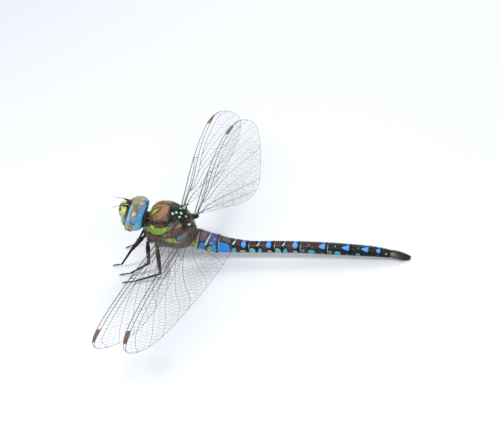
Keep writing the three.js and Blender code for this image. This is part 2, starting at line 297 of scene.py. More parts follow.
def lofted(rings: Array, ends: Array | None = None, **values: Array) -> Surface:
    """A closed body through rings of points, with a fan on each end.

    Args:
        rings: Points as ring, point, xyz. They go round so that faces look outwards when seen against the
            order of the rings.
        ends: The middle of each fan, if it isn't the middle of its ring.
        **values: Values of the rings: one for each ring, for each point of a ring, or for both.

    Returns:
        The surface with its values.
    """
    count, sides = rings.shape[:2]
    index = np.arange(count * sides).reshape(count, sides)
    here, there = index[:-1], index[1:]
    quads = np.stack([here, np.roll(here, -1, 1), np.roll(there, -1, 1), there], -1).reshape(-1, 4)
    hubs = np.stack([rings[0].mean(0), rings[-1].mean(0)]) if ends is None else ends
    first, last = np.full(sides, count * sides), np.full(sides, count * sides + 1)
    start = np.stack([first, np.roll(index[0], -1), index[0]], -1)
    end = np.stack([last, index[-1], np.roll(index[-1], -1)], -1)
    surface = Surface(np.concatenate([rings.reshape(-1, 3), hubs]), [quads, np.concatenate([start, end])])
    for key, value in values.items():
        full = np.broadcast_to(value, (count, sides, *value.shape[2:]))
        flat = full.reshape(-1, *value.shape[2:])
        surface.values[key] = np.concatenate([flat, full[:1, 0], full[-1:, 0]])
    surface.values.setdefault("place", surface.points)
    return surface


def swept(knots: Sequence[Sequence[float]], count: int = 24, sides: int = 12, blunt: float = 1.0) -> Surface:
    """A limb round a smooth path, with rounded ends.

    Args:
        knots: Rows of x, y, z, half width and half height.
        count: Rings along the path.
        sides: Points round a ring.
        blunt: How long a rounded end is, in half widths.

    Returns:
        The surface, with the share of the way along it as the value "along".
    """
    rows = catmull(np.asarray(knots, float), count, 0.85)
    centres, wide, high = rows[:, :3], rows[:, 3].copy(), rows[:, 4].copy()
    steps = np.linalg.norm(np.diff(centres, axis=0), axis=1)
    done = np.concatenate([[0], np.cumsum(steps)])
    for gone, size in ((done, wide[0]), (done[-1] - done, wide[-1])):
        near = np.clip(gone / max(blunt * size, 1e-6), 0, 1)
        round_off = np.sqrt(np.clip(1 - (1 - near) ** 2, 0.0004, 1))
        wide, high = wide * round_off, high * round_off
    way = unit(np.gradient(centres, axis=0))
    across = unit(np.cross([0, 0, 1.0], way))
    turn = wheel(sides)
    ring = across[:, None] * (np.cos(turn)[None, :, None] * wide[:, None, None])
    ring = ring + np.cross(way, across)[:, None] * (np.sin(turn)[None, :, None] * high[:, None, None])
    return lofted(centres[:, None] + ring, along=(done / done[-1])[:, None])


def lump(centre: Triple, half: Triple, power: float = 2.0, sides: int = 28, lean: float = 0.0) -> Surface:
    """A rounded lump.

    Args:
        centre: Its middle.
        half: Its half sizes along X, Y and Z.
        power: 2 for an ellipsoid, more for a rounded box.
        sides: Points round it.
        lean: How far it leans to +X for each unit up.

    Returns:
        The closed surface.
    """
    polar, turn = np.linspace(0.04, np.pi - 0.04, sides // 2 + 2), wheel(sides)
    flat = [np.outer(np.sin(polar), w) for w in (np.cos(turn), np.sin(turn))]
    ball = np.stack([*flat, np.outer(np.cos(polar), np.ones(sides))], -1)
    rings = ball * (np.abs(ball) ** power).sum(-1, keepdims=True) ** (-1 / power) * half
    rings[..., 0] += lean * rings[..., 2]
    return lofted(rings[::-1] + centre)


def fused(parts: Sequence[Surface], voxel: float, smooth: int) -> Surface:
    """Melts closed surfaces that overlap into one skin.

    Args:
        parts: The closed surfaces.
        voxel: The size of the skin's faces, in millimetres.
        smooth: How many times the skin is relaxed.

    Returns:
        The skin, all of quads.
    """
    mesh = Surface.joined(parts).mesh("melt")
    obj = linked("melt", mesh)
    melt = obj.modifiers.new("melt", "REMESH")
    melt.mode, melt.voxel_size = "VOXEL", voxel
    relax = obj.modifiers.new("relax", "SMOOTH")
    relax.factor, relax.iterations = 0.5, smooth
    done = settled(obj)
    points, quads = np.empty(len(done.vertices) * 3, np.float32), np.empty(len(done.loops), np.int32)
    done.vertices.foreach_get("co", points)
    done.loops.foreach_get("vertex_index", quads)
    for data in (mesh, done):
        bpy.data.meshes.remove(data)
    return Surface(points.reshape(-1, 3).astype(float), [quads.reshape(-1, 4)])


def groove(points: Array, path: Sequence[Triple], width: float) -> Array:
    """How near each point is to a path, alike on both sides of the body.

    Args:
        points: The points.
        path: Corners of the path, with Y not negative.
        width: How far off the path the value has fallen to about a third.

    Returns:
        One value for each point, from 1 on the path to 0 well away.
    """
    near = np.full(len(points), np.inf)
    mirrored = points * (1, 0, 1) + np.abs(points) * (0, 1, 0)
    for start, end in pairwise(np.asarray(path, float)):
        way = end - start
        share = np.clip((mirrored - start) @ way / (way @ way), 0, 1)
        off = mirrored - start - share[:, None] * way
        near = np.minimum(near, np.linalg.norm(off, axis=1))
    return np.exp(-((near / width) ** 2))


class Graph:
    """A node tree being wired. Each method adds a node and gives its output."""

    def __init__(self, tree: Tree) -> None:
        """Starts on a tree."""
        self.tree = tree

    def wire(self, node: Node, values: Values) -> None:
        """Links outputs to a node's inputs, or sets them.

        Args:
            node: The node.
            values: An output or a value for each input, by number or name.
        """
        for key, value in values.items():
            if isinstance(value, Socket):
                self.tree.links.new(value, node.inputs[key])
            elif value is not None:
                node.inputs[key].default_value = value

    def node(self, kind: str, values: Values, out: int | str = 0, **settings: object) -> Socket:
        """Adds one node.

        Args:
            kind: The node's type.
            values: What goes into its sockets, by number or name.
            out: Which of its outputs to give.
            **settings: The node's own properties.

        Returns:
            The output.
        """
        made = self.tree.nodes.new(kind)
        for key, value in settings.items():
            setattr(made, key, value)
        self.wire(made, values)
        return made.outputs[out]

    def math(self, operation: str, a: object, b: object = None, c: object = None) -> Socket:
        """A Math node."""
        return self.node("ShaderNodeMath", {0: a, 1: b, 2: c}, operation=operation)

    def times(self, *values: object) -> Socket:
        """A product."""
        return self.many("MULTIPLY", *values)

    def plus(self, a: object, b: object) -> Socket:
        """A sum."""
        return self.math("ADD", a, b)

    def less(self, a: object, b: object) -> Socket:
        """A difference."""
        return self.math("SUBTRACT", a, b)

    def over(self, a: object, b: object) -> Socket:
        """A quotient."""
        return self.math("DIVIDE", a, b)

    def most(self, *values: object) -> Socket:
        """The largest of the values."""
        return self.many("MAXIMUM", *values)

    def fit(self, a: object, factor: object, more: object) -> Socket:
        """A value times a factor, plus more."""
        return self.math("MULTIPLY_ADD", a, factor, more)

    def many(self, operation: str, *values: object) -> Socket:
        """A chain of Math nodes over many values.

        Args:
            operation: What each node does.
            *values: The values.

        Returns:
            The last output.
        """
        total = values[0]
        for value in values[1:]:
            total = self.math(operation, total, value)
        return total

    def vector(self, operation: str, a: object, b: object = None, out: int | str = 0) -> Socket:
        """A Vector Math node."""
        return self.node("ShaderNodeVectorMath", {0: a, 1: b}, out, operation=operation)

    def scaled(self, a: object, factor: object) -> Socket:
        """A vector times a factor."""
        return self.node("ShaderNodeVectorMath", {0: a, "Scale": factor}, operation="SCALE")

    def gap(self, a: object, b: object) -> Socket:
        """How far apart two places are."""
        return self.vector("DISTANCE", a, b, "Value")

    def xyz(self, *parts: object) -> Socket:
        """A vector of its parts."""
        return self.node("ShaderNodeCombineXYZ", dict(enumerate(parts)))

    def axes(self, vector: object) -> tuple[Socket, Socket, Socket]:
        """The three parts of a vector."""
        return tuple(self.node("ShaderNodeSeparateXYZ", {0: vector}).node.outputs)

    def smooth(self, value: object, low: object, high: object) -> Socket:
        """A smooth step from 0 at low to 1 at high."""
        values = {"Value": value, "From Min": low, "From Max": high}
        return self.node("ShaderNodeMapRange", values, interpolation_type="SMOOTHSTEP")

    def zone(self, *steps: tuple[object, float, float]) -> Socket:
        """Where all of several smooth steps are done: each is a value, its low and its high."""
        return self.times(*(self.smooth(*step) for step in steps))

    def blend(self, share: object, under: object, over: object) -> Socket:
        """A mix of two colours.

        Args:
            share: How much of the second shows.
            under: The first: an output, or a colour as it is seen.
            over: The second, given in the same way.

        Returns:
            The mixed colour.
        """
        under, over = (paint(c) if isinstance(c, tuple) else c for c in (under, over))
        values = {0: share, MIX_UNDER: under, MIX_OVER: over}
        return self.node("ShaderNodeMix", values, MIX_COLOUR, data_type="RGBA")

    def layers(self, colour: object, *layers: tuple[object, object]) -> Socket:
        """A colour with others laid over it.

        Args:
            colour: The colour.
            *layers: A mask and a colour for each layer.

        Returns:
            The colour of them all.
        """
        for mask, over in layers:
            colour = self.blend(mask, colour, over)
        return colour

    def attribute(self, name: str, out: str = "Fac") -> Socket:
        """A value stored on the mesh."""
        return self.node("ShaderNodeAttribute", {}, out, attribute_name=name)

    def noise(self, place: object, scale: float, detail: float = 2.0, rough: float = 0.5) -> Socket:
        """A noise value from 0 to 1."""
        values = {"Vector": place, "Scale": scale, "Detail": detail, "Roughness": rough}
        return self.node("ShaderNodeTexNoise", values)

    def patches(
        self, place: object, scale: float, first: object, second: object, low: float = 0.3, high: float = 0.7
    ) -> Socket:
        """A colour that wanders between two colours.

        Args:
            place: The place on the piece.
            scale: How fine the noise is.
            first: The colour where the noise is low.
            second: The colour where it is high.
            low: The noise at which the first ends.
            high: The noise at which the second starts.

        Returns:
            The colour.
        """
        return self.blend(self.smooth(self.noise(place, scale, 3.0), low, high), first, second)

    def bump(self, height: object, strength: float, distance: float) -> Socket:
        """A normal with relief."""
        return self.node("ShaderNodeBump", {"Strength": strength, "Distance": distance, "Height": height})

    def group(self, tree: Tree, values: dict[str, object], out: int | str = 0) -> Socket:
        """Places a shared effect."""
        return self.node("ShaderNodeGroup", values, out, node_tree=tree)


def new_group(name: str, inputs: dict[str, object], *outputs: str) -> tuple[Graph, dict[str, Socket], Node]:
    """Starts a shared shader effect.

    Args:
        name: The group's name.
        inputs: Each input's standing value by name. A tuple is a vector.
        *outputs: The outputs' names. Place is a vector and the others are values.

    Returns:
        The graph to wire, its inputs by name and its output node.
    """
    tree = bpy.data.node_groups.new(name, "ShaderNodeTree")
    for key, value in inputs.items():
        kind = "NodeSocketVector" if isinstance(value, tuple) else "NodeSocketFloat"
        tree.interface.new_socket(key, in_out="INPUT", socket_type=kind).default_value = value
    for key in outputs:
        kind = "NodeSocketVector" if key == "Place" else "NodeSocketFloat"
        tree.interface.new_socket(key, in_out="OUTPUT", socket_type=kind)
    entry, leave = tree.nodes.new("NodeGroupInput"), tree.nodes.new("NodeGroupOutput")
    return Graph(tree), {key: entry.outputs[key] for key in inputs}, leave


class Effects:
    """The shader effects that several finishes share, each built once."""

    def __init__(self) -> None:
        """Builds them all."""
        self.streak, self.segment_mark = self._streak(), self._segment_mark()
        self.chitin, self.mirror = self._chitin(), self._mirror()

    @staticmethod
    def _streak() -> Tree:
        """A soft-edged streak between two points, which may widen on its way.

        Returns:
            The group.
        """
        inputs = {"Place": (0.0, 0.0, 0.0), "Start": (0.0, 0.0, 0.0), "End": (1.0, 0.0, 0.0)}
        inputs |= {"Start Width": 0.3, "End Width": 0.3, "Soft": 0.08}
        g, at, leave = new_group("Streak", inputs, "Mask", "Halo")
        way = g.vector("SUBTRACT", at["End"], at["Start"])
        off = g.vector("SUBTRACT", at["Place"], at["Start"])
        dot, square = (g.vector("DOT_PRODUCT", v, way, "Value") for v in (off, way))
        share = g.math("MINIMUM", g.most(g.over(dot, g.most(square, 1e-6)), 0.0), 1.0)
        gap = g.gap(off, g.scaled(way, share))
        width = g.fit(g.less(at["End Width"], at["Start Width"]), share, at["Start Width"])
        inner, outer = g.less(width, at["Soft"]), g.plus(width, at["Soft"])
        halo = g.smooth(gap, g.plus(outer, 0.22), outer)
        g.wire(leave, {"Mask": g.smooth(gap, outer, inner), "Halo": halo})
        return g.tree

    @staticmethod
    def _segment_mark() -> Tree:
        """A rounded, bordered mark that repeats on a run of abdominal segments.

        Returns:
            The group.
        """
        inputs = {"Along": 0.0, "Around": 0.0, "First": 1.0, "Last": 1.0, "Front": 0.2, "Rear": 0.4}
        inputs |= {"Centre": 30.0, "Half": 20.0, "Taper": 0.0, "Slant": 0.0, "Soft": 0.12, "Border": 0.3}
        inputs |= {"Front Power": 2.6, "Rear Power": 2.6}
        g, at, leave = new_group("Segment mark", inputs, "Mask", "Halo")
        number, share = g.math("FLOOR", at["Along"]), g.math("FRACT", at["Along"])
        after = g.math("GREATER_THAN", number, g.less(at["First"], 0.5))
        on_run = g.times(after, g.math("LESS_THAN", number, g.plus(at["Last"], 0.5)))
        off = g.over(g.less(at["Around"], at["Centre"]), at["Half"])
        slid = g.fit(off, at["Slant"], share)
        middle = g.less(g.over(g.less(at["Rear"], slid), g.less(at["Rear"], at["Front"])), 0.5)
        room = g.most(g.less(1.0, g.times(at["Taper"], middle)), 0.08)
        sides = g.math("POWER", g.math("ABSOLUTE", g.over(off, room)), 2.6)
        for sign, power in ((2.0, "Front Power"), (-2.0, "Rear Power")):
            sides = g.plus(sides, g.math("POWER", g.most(g.times(middle, sign), 0.0), at[power]))
        edge = g.math("POWER", sides, 1 / 2.6)
        for out, rim in (("Mask", 1.0), ("Halo", g.plus(1.0, at["Border"]))):
            mask = g.smooth(edge, g.plus(rim, at["Soft"]), g.less(rim, at["Soft"]))
            g.wire(leave, {out: g.times(mask, on_run)})
        return g.tree

    @staticmethod
    def _chitin() -> Tree:
        """The fine relief and the uneven tone of an insect's shell.

        Returns:
            The group.
        """
        g, at, leave = new_group("Chitin", {"Place": (0.0, 0.0, 0.0), "Scale": 1.0}, "Height", "Tone")
        place = g.scaled(at["Place"], at["Scale"])
        grains = g.node("ShaderNodeTexVoronoi", {"Vector": place, "Scale": 9.0}, feature="SMOOTH_F1")
        wrinkles = g.noise(place, 3.2, 4.0, 0.62)
        broad = g.times(g.noise(place, 0.9, 3.0, 0.55), 0.55)
        g.wire(leave, {"Height": g.fit(grains, 0.55, wrinkles), "Tone": g.fit(wrinkles, 0.45, broad)})
        return g.tree

    @staticmethod
    def _mirror() -> Tree:
        """A place with its Y made positive and its edges made a little uneven.

        Returns:
            The group.
        """
        g, at, leave = new_group("Mirrored place", {"Place": (0.0, 0.0, 0.0), "Waver": 0.1}, "Place")
        x, y, z = g.axes(at["Place"])
        noise = g.node("ShaderNodeTexNoise", {"Vector": at["Place"], "Scale": 2.4, "Detail": 2.0}, 1)
        waver = g.scaled(g.vector("SUBTRACT", noise, (0.5, 0.5, 0.5)), at["Waver"])
        g.wire(leave, {"Place": g.vector("ADD", g.xyz(x, g.math("ABSOLUTE", y), z), waver)})
        return g.tree


@dataclass(frozen=True)
class Shine:
    """How a surface takes light.

    spread is how far its roughness varies, relief is how strong its bump is, and depth is the
    bump's height in metres.
    """

    roughness: float = 0.4
    spread: float = 0.15
    specular: float = 0.5
    coat: float = 0.0
    coat_roughness: float = 0.1
    relief: float = 0.25
    depth: float = 0.00004


class Paint(Graph):
    """A material being wired, with the mesh's value "place" at hand."""

    def __init__(self, name: str, effects: Effects) -> None:
        """Starts the material.

        Args:
            name: Its name.
            effects: The shared effects.
        """
        self.material, self.effects = bpy.data.materials.new(name), effects
        self.material.use_nodes = True
        super().__init__(self.material.node_tree)
        self.shader, self.place = self.tree.nodes["Principled BSDF"], self.attribute("place", "Vector")

    def mirrored(self, waver: float) -> Socket:
        """The place with its Y made positive and its edges made uneven."""
        return self.group(self.effects.mirror, {"Place": self.place, "Waver": waver})

    def run(self, place: Socket, corners: Sequence[Four], soft: float, out: str = "Mask") -> Socket:
        """Wires a run of streaks from corner to corner.

        Args:
            place: The place on the body.
            corners: The corners, each with its half width.
            soft: How soft the edges are.
            out: Mask, or Halo for a border round the streaks.

        Returns:
            The largest mask of them all.
        """
        streaks = []
        for (*start, wide), (*end, narrow) in pairwise(corners):
            values = {"Place": place, "Start": start, "End": end, "Soft": soft}
            values |= {"Start Width": wide, "End Width": narrow}
            streaks.append(self.group(self.effects.streak, values, out))
        return self.most(*streaks)

    def finished(self, values: Values) -> Material:
        """Wires the shader and gives the material."""
        self.wire(self.shader, values)
        return self.material

    def shell(self, shine: Shine, colour: Socket, height: object = 0.0) -> Material:
        """Wires a shell's colour, roughness and relief.

        Args:
            shine: How it takes light.
            colour: Its colour.
            height: More relief, where there is any.

        Returns:
            The material.
        """
        chitin = self.group(self.effects.chitin, {"Place": self.place}).node.outputs
        tone, relief = chitin["Tone"], self.plus(chitin["Height"], height)
        worn = self.blend(self.smooth(tone, 0.2, 0.75), self.blend(0.3, colour, (8, 7, 8)), colour)
        rough = self.fit(tone, shine.spread, shine.roughness - shine.spread / 2)
        values = {"Base Color": worn, "Roughness": rough, "Specular IOR Level": shine.specular}
        values |= {"Normal": self.bump(relief, shine.relief, shine.depth)}
        return self.finished(values | {"Coat Weight": shine.coat, "Coat Roughness": shine.coat_roughness})


@dataclass
class Shop:
    """What every part is made with: the shared effects, and where the insect's millimetres lie."""

    effects: Effects
    shift: float

    @classmethod
    def opened(cls) -> Shop:
        """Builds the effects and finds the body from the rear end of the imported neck."""
        return cls(Effects(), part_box("neck")[1].x / MM - NECK_REAR)

    def add(self, shape: Surface | Mesh, name: str, material: Material, slot: str, *replaces: str) -> None:
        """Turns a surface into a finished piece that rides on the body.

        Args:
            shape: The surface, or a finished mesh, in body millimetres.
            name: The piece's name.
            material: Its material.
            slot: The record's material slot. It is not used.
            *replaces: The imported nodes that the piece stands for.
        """
        mesh = shape.mesh(name) if isinstance(shape, Surface) else shape
        mesh.name = name
        mesh.transform(Matrix.Scale(MM, 4) @ Matrix.Translation((self.shift, 0, 0)))
        mesh.materials.clear()
        mesh.materials.append(material)
        obj = linked(name, mesh)
        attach(obj, BODY)
        if replaces:
            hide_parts(*replaces)
        mesh.calc_loop_triangles()
        LOG.info("%s: %d triangles", name, len(mesh.loop_triangles))


BLUE, DEEP_BLUE, SKY = (92, 168, 250), (0, 144, 238), (176, 228, 246)
TEAL, PALE, MINT = (84, 178, 196), (168, 186, 140), (172, 238, 196)
INK, BROWN, UMBER = (9, 8, 13), (88, 48, 48), (44, 28, 32)
LIME, GREEN, SAGE = (204, 230, 84), (140, 184, 74), (160, 196, 104)


@dataclass(frozen=True)
class Mark:
    """A coloured mark on the flanks of a run of abdominal segments.

    front and rear are shares of the segment's length, centre and half are degrees from the middle
    line of the back, and taper narrows the mark to its front, or to its rear if it is negative.
    slant brings its lower end forward, border is how wide its dark rim is, and the powers say how
    square its ends are.
    """

    colour: Colour
    first: int
    last: int
    front: float
    rear: float
    centre: float
    half: float
    taper: float = 0.0
    slant: float = 0.0
    soft: float = 0.14
    border: float = 0.35
    front_power: float = 2.6
    rear_power: float = 2.6


@dataclass(frozen=True)
class AbdomenFinish:
    """Dark brown segments with paired blue spots, black rings and paler flank marks."""

    shine: Shine = Shine(0.36, 0.16, specular=0.14, coat=0.05, coat_roughness=0.15, relief=0.35)
    marks: tuple[Mark, ...] = (
        Mark((164, 206, 52), 1, 1, 0.15, 0.9, 116, 42),
        Mark((206, 220, 196), 1, 1, 0.9, 0.99, 76, 66, border=0.0),
        Mark((112, 96, 108), 2, 2, 0.1, 0.42, 34, 32, soft=0.3, border=0.1),
        Mark((26, 142, 226), 2, 2, 0.12, 0.5, 108, 38, taper=0.3),
        Mark((190, 226, 240), 2, 2, 0.49, 0.58, 44, 42, slant=0.07, border=0.25),
        # Segment 2's rear blue spots, darkened to purple-blue by painted shade, with two paler streaks of
        # painted highlight.
        Mark((70, 76, 138), 2, 2, 0.62, 0.94, 42, 40, soft=0.35, border=0.1),
        Mark((118, 136, 230), 2, 2, 0.66, 0.84, 58, 10, slant=0.05, soft=0.5, border=0.0),
        Mark((112, 128, 214), 2, 2, 0.78, 0.92, 30, 9, soft=0.5, border=0.0),
        Mark((132, 200, 66), 2, 2, 0.58, 0.82, 114, 30, soft=0.2),
        Mark((34, 156, 228), 2, 2, 0.76, 0.96, 104, 40, soft=0.25, border=0.1),
        Mark((104, 92, 104), 3, 3, 0.12, 0.42, 26, 20, soft=0.35, border=0.1),
        Mark(DEEP_BLUE, 3, 3, 0.02, 0.435, 104, 58, taper=-0.25, front_power=7.0, rear_power=5.0),
        Mark(SKY, 3, 3, 0.52, 0.575, 28, 21, slant=0.03, border=0.5),
        Mark(TEAL, 3, 3, 0.47, 0.62, 112, 34, taper=0.9),
        Mark(BLUE, 3, 3, 0.775, 0.92, 36, 32, taper=-0.2, rear_power=8.0),
        Mark((158, 178, 162), 3, 7, 0.02, 0.05, 62, 52, soft=0.3, border=0.0),
        Mark((112, 186, 180), 4, 5, 0.06, 0.275, 104, 33, taper=-0.25),
        Mark(TEAL, 4, 5, 0.365, 0.525, 110, 35, taper=0.95),
        Mark(SKY, 4, 5, 0.365, 0.425, 27, 20, slant=0.035, border=0.5),
        Mark(BLUE, 4, 4, 0.715, 0.905, 36, 33, taper=-0.3, rear_power=8.0),
        Mark(BLUE, 5, 5, 0.745, 0.925, 36, 33, taper=-0.2, rear_power=8.0),
        Mark(PALE, 3, 5, 0.74, 0.92, 109, 15, border=0.1),
        Mark((74, 138, 148), 6, 7, 0.07, 0.2, 92, 18, soft=0.25),
        Mark((66, 166, 196), 6, 7, 0.31, 0.56, 104, 26, taper=0.2, front_power=4.0),
        Mark((132, 170, 160), 6, 8, 0.31, 0.35, 26, 10, border=0.4),
        Mark((124, 132, 92), 6, 7, 0.78, 0.9, 116, 10, border=0.1),
        Mark(BLUE, 6, 6, 0.7, 0.93, 35, 23, taper=1.1, rear_power=8.0),
        Mark(BLUE, 7, 7, 0.6, 0.91, 35, 21, taper=1.35, rear_power=8.0),
        Mark((66, 160, 180), 8, 8, 0.22, 0.42, 106, 20),
        Mark(BLUE, 8, 8, 0.48, 0.82, 36, 22, taper=1.0, rear_power=8.0),
        Mark(BLUE, 9, 9, 0.4, 0.84, 38, 25, taper=0.6, rear_power=5.0),
        Mark((108, 84, 48), 9, 9, 0.5, 0.8, 108, 14, border=0.1),
        Mark((150, 128, 84), 10, 10, 0.35, 0.6, 62, 16, border=0.2),
    )

    def material(self, effects: Effects) -> Material:
        """Builds the finish, which reads "along", "around" and "place".

        Args:
            effects: The shared effects.

        Returns:
            The material.
        """
        g = Paint("abdomen shell", effects)
        along, around = g.attribute("along"), g.attribute("around")
        waver = g.less(g.noise(g.place, 2.2), 0.5)
        wide, share = g.fit(waver, 9.0, around), g.math("FRACT", along)
        ground = g.blend(g.smooth(along, 6.0, 7.6), g.patches(g.place, 1.4, UMBER, BROWN), (24, 21, 26))
        ground = g.blend(g.smooth(around, 142.0, 156.0), ground, (40, 30, 30))
        carina = g.zone((share, 0.275, 0.295), (share, 0.375, 0.355))
        black = g.most(
            g.smooth(g.fit(waver, 0.02, share), 0.895, 0.93),
            g.smooth(share, 0.03, 0.012),
            g.smooth(around, 5.0, 2.2),
            g.times(carina, g.math("GREATER_THAN", along, 3.9)),
            g.zone((along, 3.43, 3.45), (along, 3.53, 3.51)),
            g.zone((around, 134.0, 138.0), (around, 146.0, 142.0)),
        )
        colour = g.blend(black, ground, INK)
        deepen = g.smooth(around, 30.0, 78.0)
        for mark in self.marks:
            sizes = {key.replace("_", " ").title(): value for key, value in asdict(mark).items()}
            hue = sizes.pop("Colour")
            spot = g.group(effects.segment_mark, {"Along": along, "Around": wide} | sizes).node.outputs
            if mark.border:
                colour = g.blend(spot["Halo"], colour, INK)
            colour = g.blend(spot["Mask"], colour, g.blend(deepen, hue, DEEP_BLUE) if hue == BLUE else hue)
        ribs = g.times(g.math("SINE", g.times(around, 1.9)), 0.12)
        return g.shell(self.shine, colour, ribs)


@dataclass
class Abdomen:
    """The ten segments of the abdomen as one skin, with their rims, carinas and side lobes.

    Each row of the table is a segment's start: its place along the body, the height of its axis,
    and its half height and half width. The last row is the rear rim of segment 10.
    """

    rows: tuple[Four, ...] = (
        (-14.3, 5.1, 1.85, 1.7), (-13.2, 4.75, 2.0, 1.9), (-9.25, 3.58, 1.86, 1.8), (-3.0, 2.85, 1.15, 1.18),
        (2.4, 2.84, 1.14, 1.2), (7.7, 2.74, 1.14, 1.22), (13.2, 2.46, 1.14, 1.24), (18.0, 2.13, 1.07, 1.2),
        (21.95, 1.78, 0.97, 1.1), (23.9, 1.5, 0.87, 0.98), (25.6, 1.2, 0.68, 0.84),
    )
    sides: int = 80
    ring_step: float = 0.1
    waist: tuple[float, float] = (0.07, 0.1)
    power: float = 2.15
    finish: AbdomenFinish = AbdomenFinish()

    def surface(self) -> Surface:
        """Works out the skin.

        Returns:
            The surface with its values: along counts segments from 1, around is in degrees from the
            middle line of the back, and place is in millimetres.
        """
        rows, turn = np.asarray(self.rows, float), wheel(self.sides)
        degrees = np.degrees(np.minimum(turn, 2 * np.pi - turn))
        out, rise = (np.sign(w) * np.abs(w) ** (2 / self.power) for w in (np.sin(turn), np.cos(turn)))
        rings, along = [], []
        for number, length in enumerate(np.diff(rows[:, 0]), start=1):
            share = np.linspace(0, 1, max(12, int(length / self.ring_step)))
            share = share - 0.6 * np.sin(2 * np.pi * share) / (2 * np.pi)
            centre = catmull_at(rows[:, :2], number - 1 + share)
            way = unit(np.gradient(centre, axis=0))
            for at, (x, z), (way_x, way_z) in zip(share, centre, way):
                high, wide = rows[number - 1, 2:] * (1 - at) + rows[number, 2:] * at
                size = self._relief(number, at, length, degrees)
                drawn = math.sin(math.pi * math.sqrt(at)) if number == 3 else 0.0
                up = rise * size * high * (1 - self.waist[0] * drawn)
                across = out * size * wide * (1 - self.waist[1] * drawn)
                rings.append(np.stack([x - way_z * up, -across, z + way_x * up], -1))
                along.append(number + np.clip(at, 0.002, 0.998))
        return lofted(np.asarray(rings), along=np.asarray(along)[:, None], around=degrees[None])

    @staticmethod
    def _relief(number: int, share: float, length: float, degrees: Array) -> Array:
        """How the radius swells and sinks round one ring.

        Args:
            number: The segment, from 1.
            share: The ring's place along the segment.
            length: The segment's length.
            degrees: The angle of each point from the middle line of the back.

        Returns:
            The radius of each point, as a share of the plain one.
        """
        front, rear = share * length, (1 - share) * length
        # The groove and the rim at the joint, the ring fold, the keel, and the edges of the belly.
        size = 1 - 0.085 * hump(front, 0, 0.16) + 0.035 * hump(rear, 0.1, 0.14)
        fold = (0.36 if number > 3 else 0.47) * length
        if 2 <= number <= 8:
            size = size + 0.016 * hump(front, fold, 0.07) - 0.014 * hump(front, fold + 0.16, 0.1)
        size = size + (0.02 if number > 2 else 0.0) * hump(degrees, 0, 7) + 0.025 * hump(degrees, 132, 8)
        size = size - 0.1 * ease(degrees, 136, 158) + 0.08 * ease(degrees, 164, 176)
        # The side lobes of the second segment and the bulge on its underside.
        if number == 2:
            size = size + 0.2 * hump(share, 0.34, 0.13) * hump(degrees, 104, 15)
            size = size + 0.16 * hump(share, 0.62, 0.3) * hump(degrees, 180, 24)
        return size

    def build(self, shop: Shop) -> Surface:
        """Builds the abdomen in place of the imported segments.

        Args:
            shop: The shared effects and the body's place.

        Returns:
            Its skin.
        """
        nodes, skin = [f"abdomen_{number:02d}" for number in range(1, 11)], self.surface()
        shop.add(skin, "abdomen_skin", self.finish.material(shop.effects), "abdomen", *nodes)
        return skin


@dataclass(frozen=True)
class DarkFinish:
    """Black to dark brown shell, with a brown or blue cast where it is asked for."""

    name: str = "dark shell"
    base: Colour = (20, 18, 21)
    cast: Colour = (38, 28, 28)
    shine: Shine = Shine(0.3, 0.14, specular=0.16, coat=0.08, coat_roughness=0.15, relief=0.3)

    def material(self, effects: Effects) -> Material:
        """Builds the finish, which reads "along" and "place".

        Args:
            effects: The shared effects.

        Returns:
            The material.
        """
        g = Paint(self.name, effects)
        near_root = g.smooth(g.attribute("along"), 0.75, 0.1)
        patchy = g.patches(g.place, 1.1, self.base, self.cast, 0.35, 0.65)
        return g.shell(self.shine, g.blend(near_root, self.base, patchy))


@dataclass
class Claspers:
    """The two leaf-shaped blades at the tail's end and the short plate below them."""

    apart: float = 0.5
    blade: tuple[Five, ...] = (
        (25.35, 0.0, 1.38, 0.34, 0.24), (26.1, 0.04, 1.3, 0.44, 0.2), (26.9, 0.08, 1.04, 0.56, 0.17),
        (27.9, 0.08, 0.64, 0.56, 0.15), (28.8, -0.08, 0.36, 0.42, 0.14), (29.3, -0.2, 0.24, 0.22, 0.13),
        (29.5, -0.24, 0.19, 0.06, 0.09),
    )
    plate: tuple[Five, ...] = (
        (25.3, 0.0, 0.84, 0.5, 0.22), (26.2, 0.0, 0.52, 0.46, 0.18), (27.1, 0.0, 0.32, 0.3, 0.16),
        (27.7, 0.0, 0.24, 0.1, 0.12),
    )
    finish: DarkFinish = DarkFinish(
        "clasper shell", (15, 14, 17), (112, 110, 86),
        Shine(0.34, specular=0.16, coat=0.08, coat_roughness=0.2, relief=0.4),
    )

    def build(self, shop: Shop) -> None:
        """Builds the three blades, each with a raised ridge on its upper side.

        Args:
            shop: The shared effects and the body's place.
        """
        material = self.finish.material(shop.effects)
        for side in Side:
            middle = side.value * self.apart
            knots = [(x, middle + side.value * y, z, wide, high) for x, y, z, wide, high in self.blade]
            blade = self._ridged(swept(knots, 44, 22, 1.6), middle)
            shop.add(blade, f"cercus_{side.word}", material, "dark_shell", f"clasper_{side.word}")
        plate = self._ridged(swept(self.plate, 34, 20, 1.2), 0.0)
        shop.add(plate, "epiproct", material, "dark_shell", "clasper_lower")

    @staticmethod
    def _ridged(surface: Surface, middle: float) -> Surface:
        """Raises a ridge along a blade and lays its tip on the ground.

        Args:
            surface: The blade.
            middle: Its middle line, as a Y.

        Returns:
            The blade with its ridge.
        """
        points, upper = surface.points.copy(), ease(surface.normals()[:, 2], 0.1, 0.8)
        points[:, 2] += 0.07 * upper * hump(points[:, 1], middle, 0.1) * ease(points[:, 0], 25.6, 26.6)
        points[:, 2] = np.maximum(points[:, 2], 0.0)
        return Surface(points, surface.faces).with_values(along=surface.values["along"])


@dataclass(frozen=True)
class Stripe:
    """A coloured stripe on the thorax through a few corners, each with its half width. It serves for marks,
    painted shadows and painted highlights.
    """

    colour: Colour
    corners: tuple[Four, ...]
    soft: float = 0.1
    bordered: bool = True


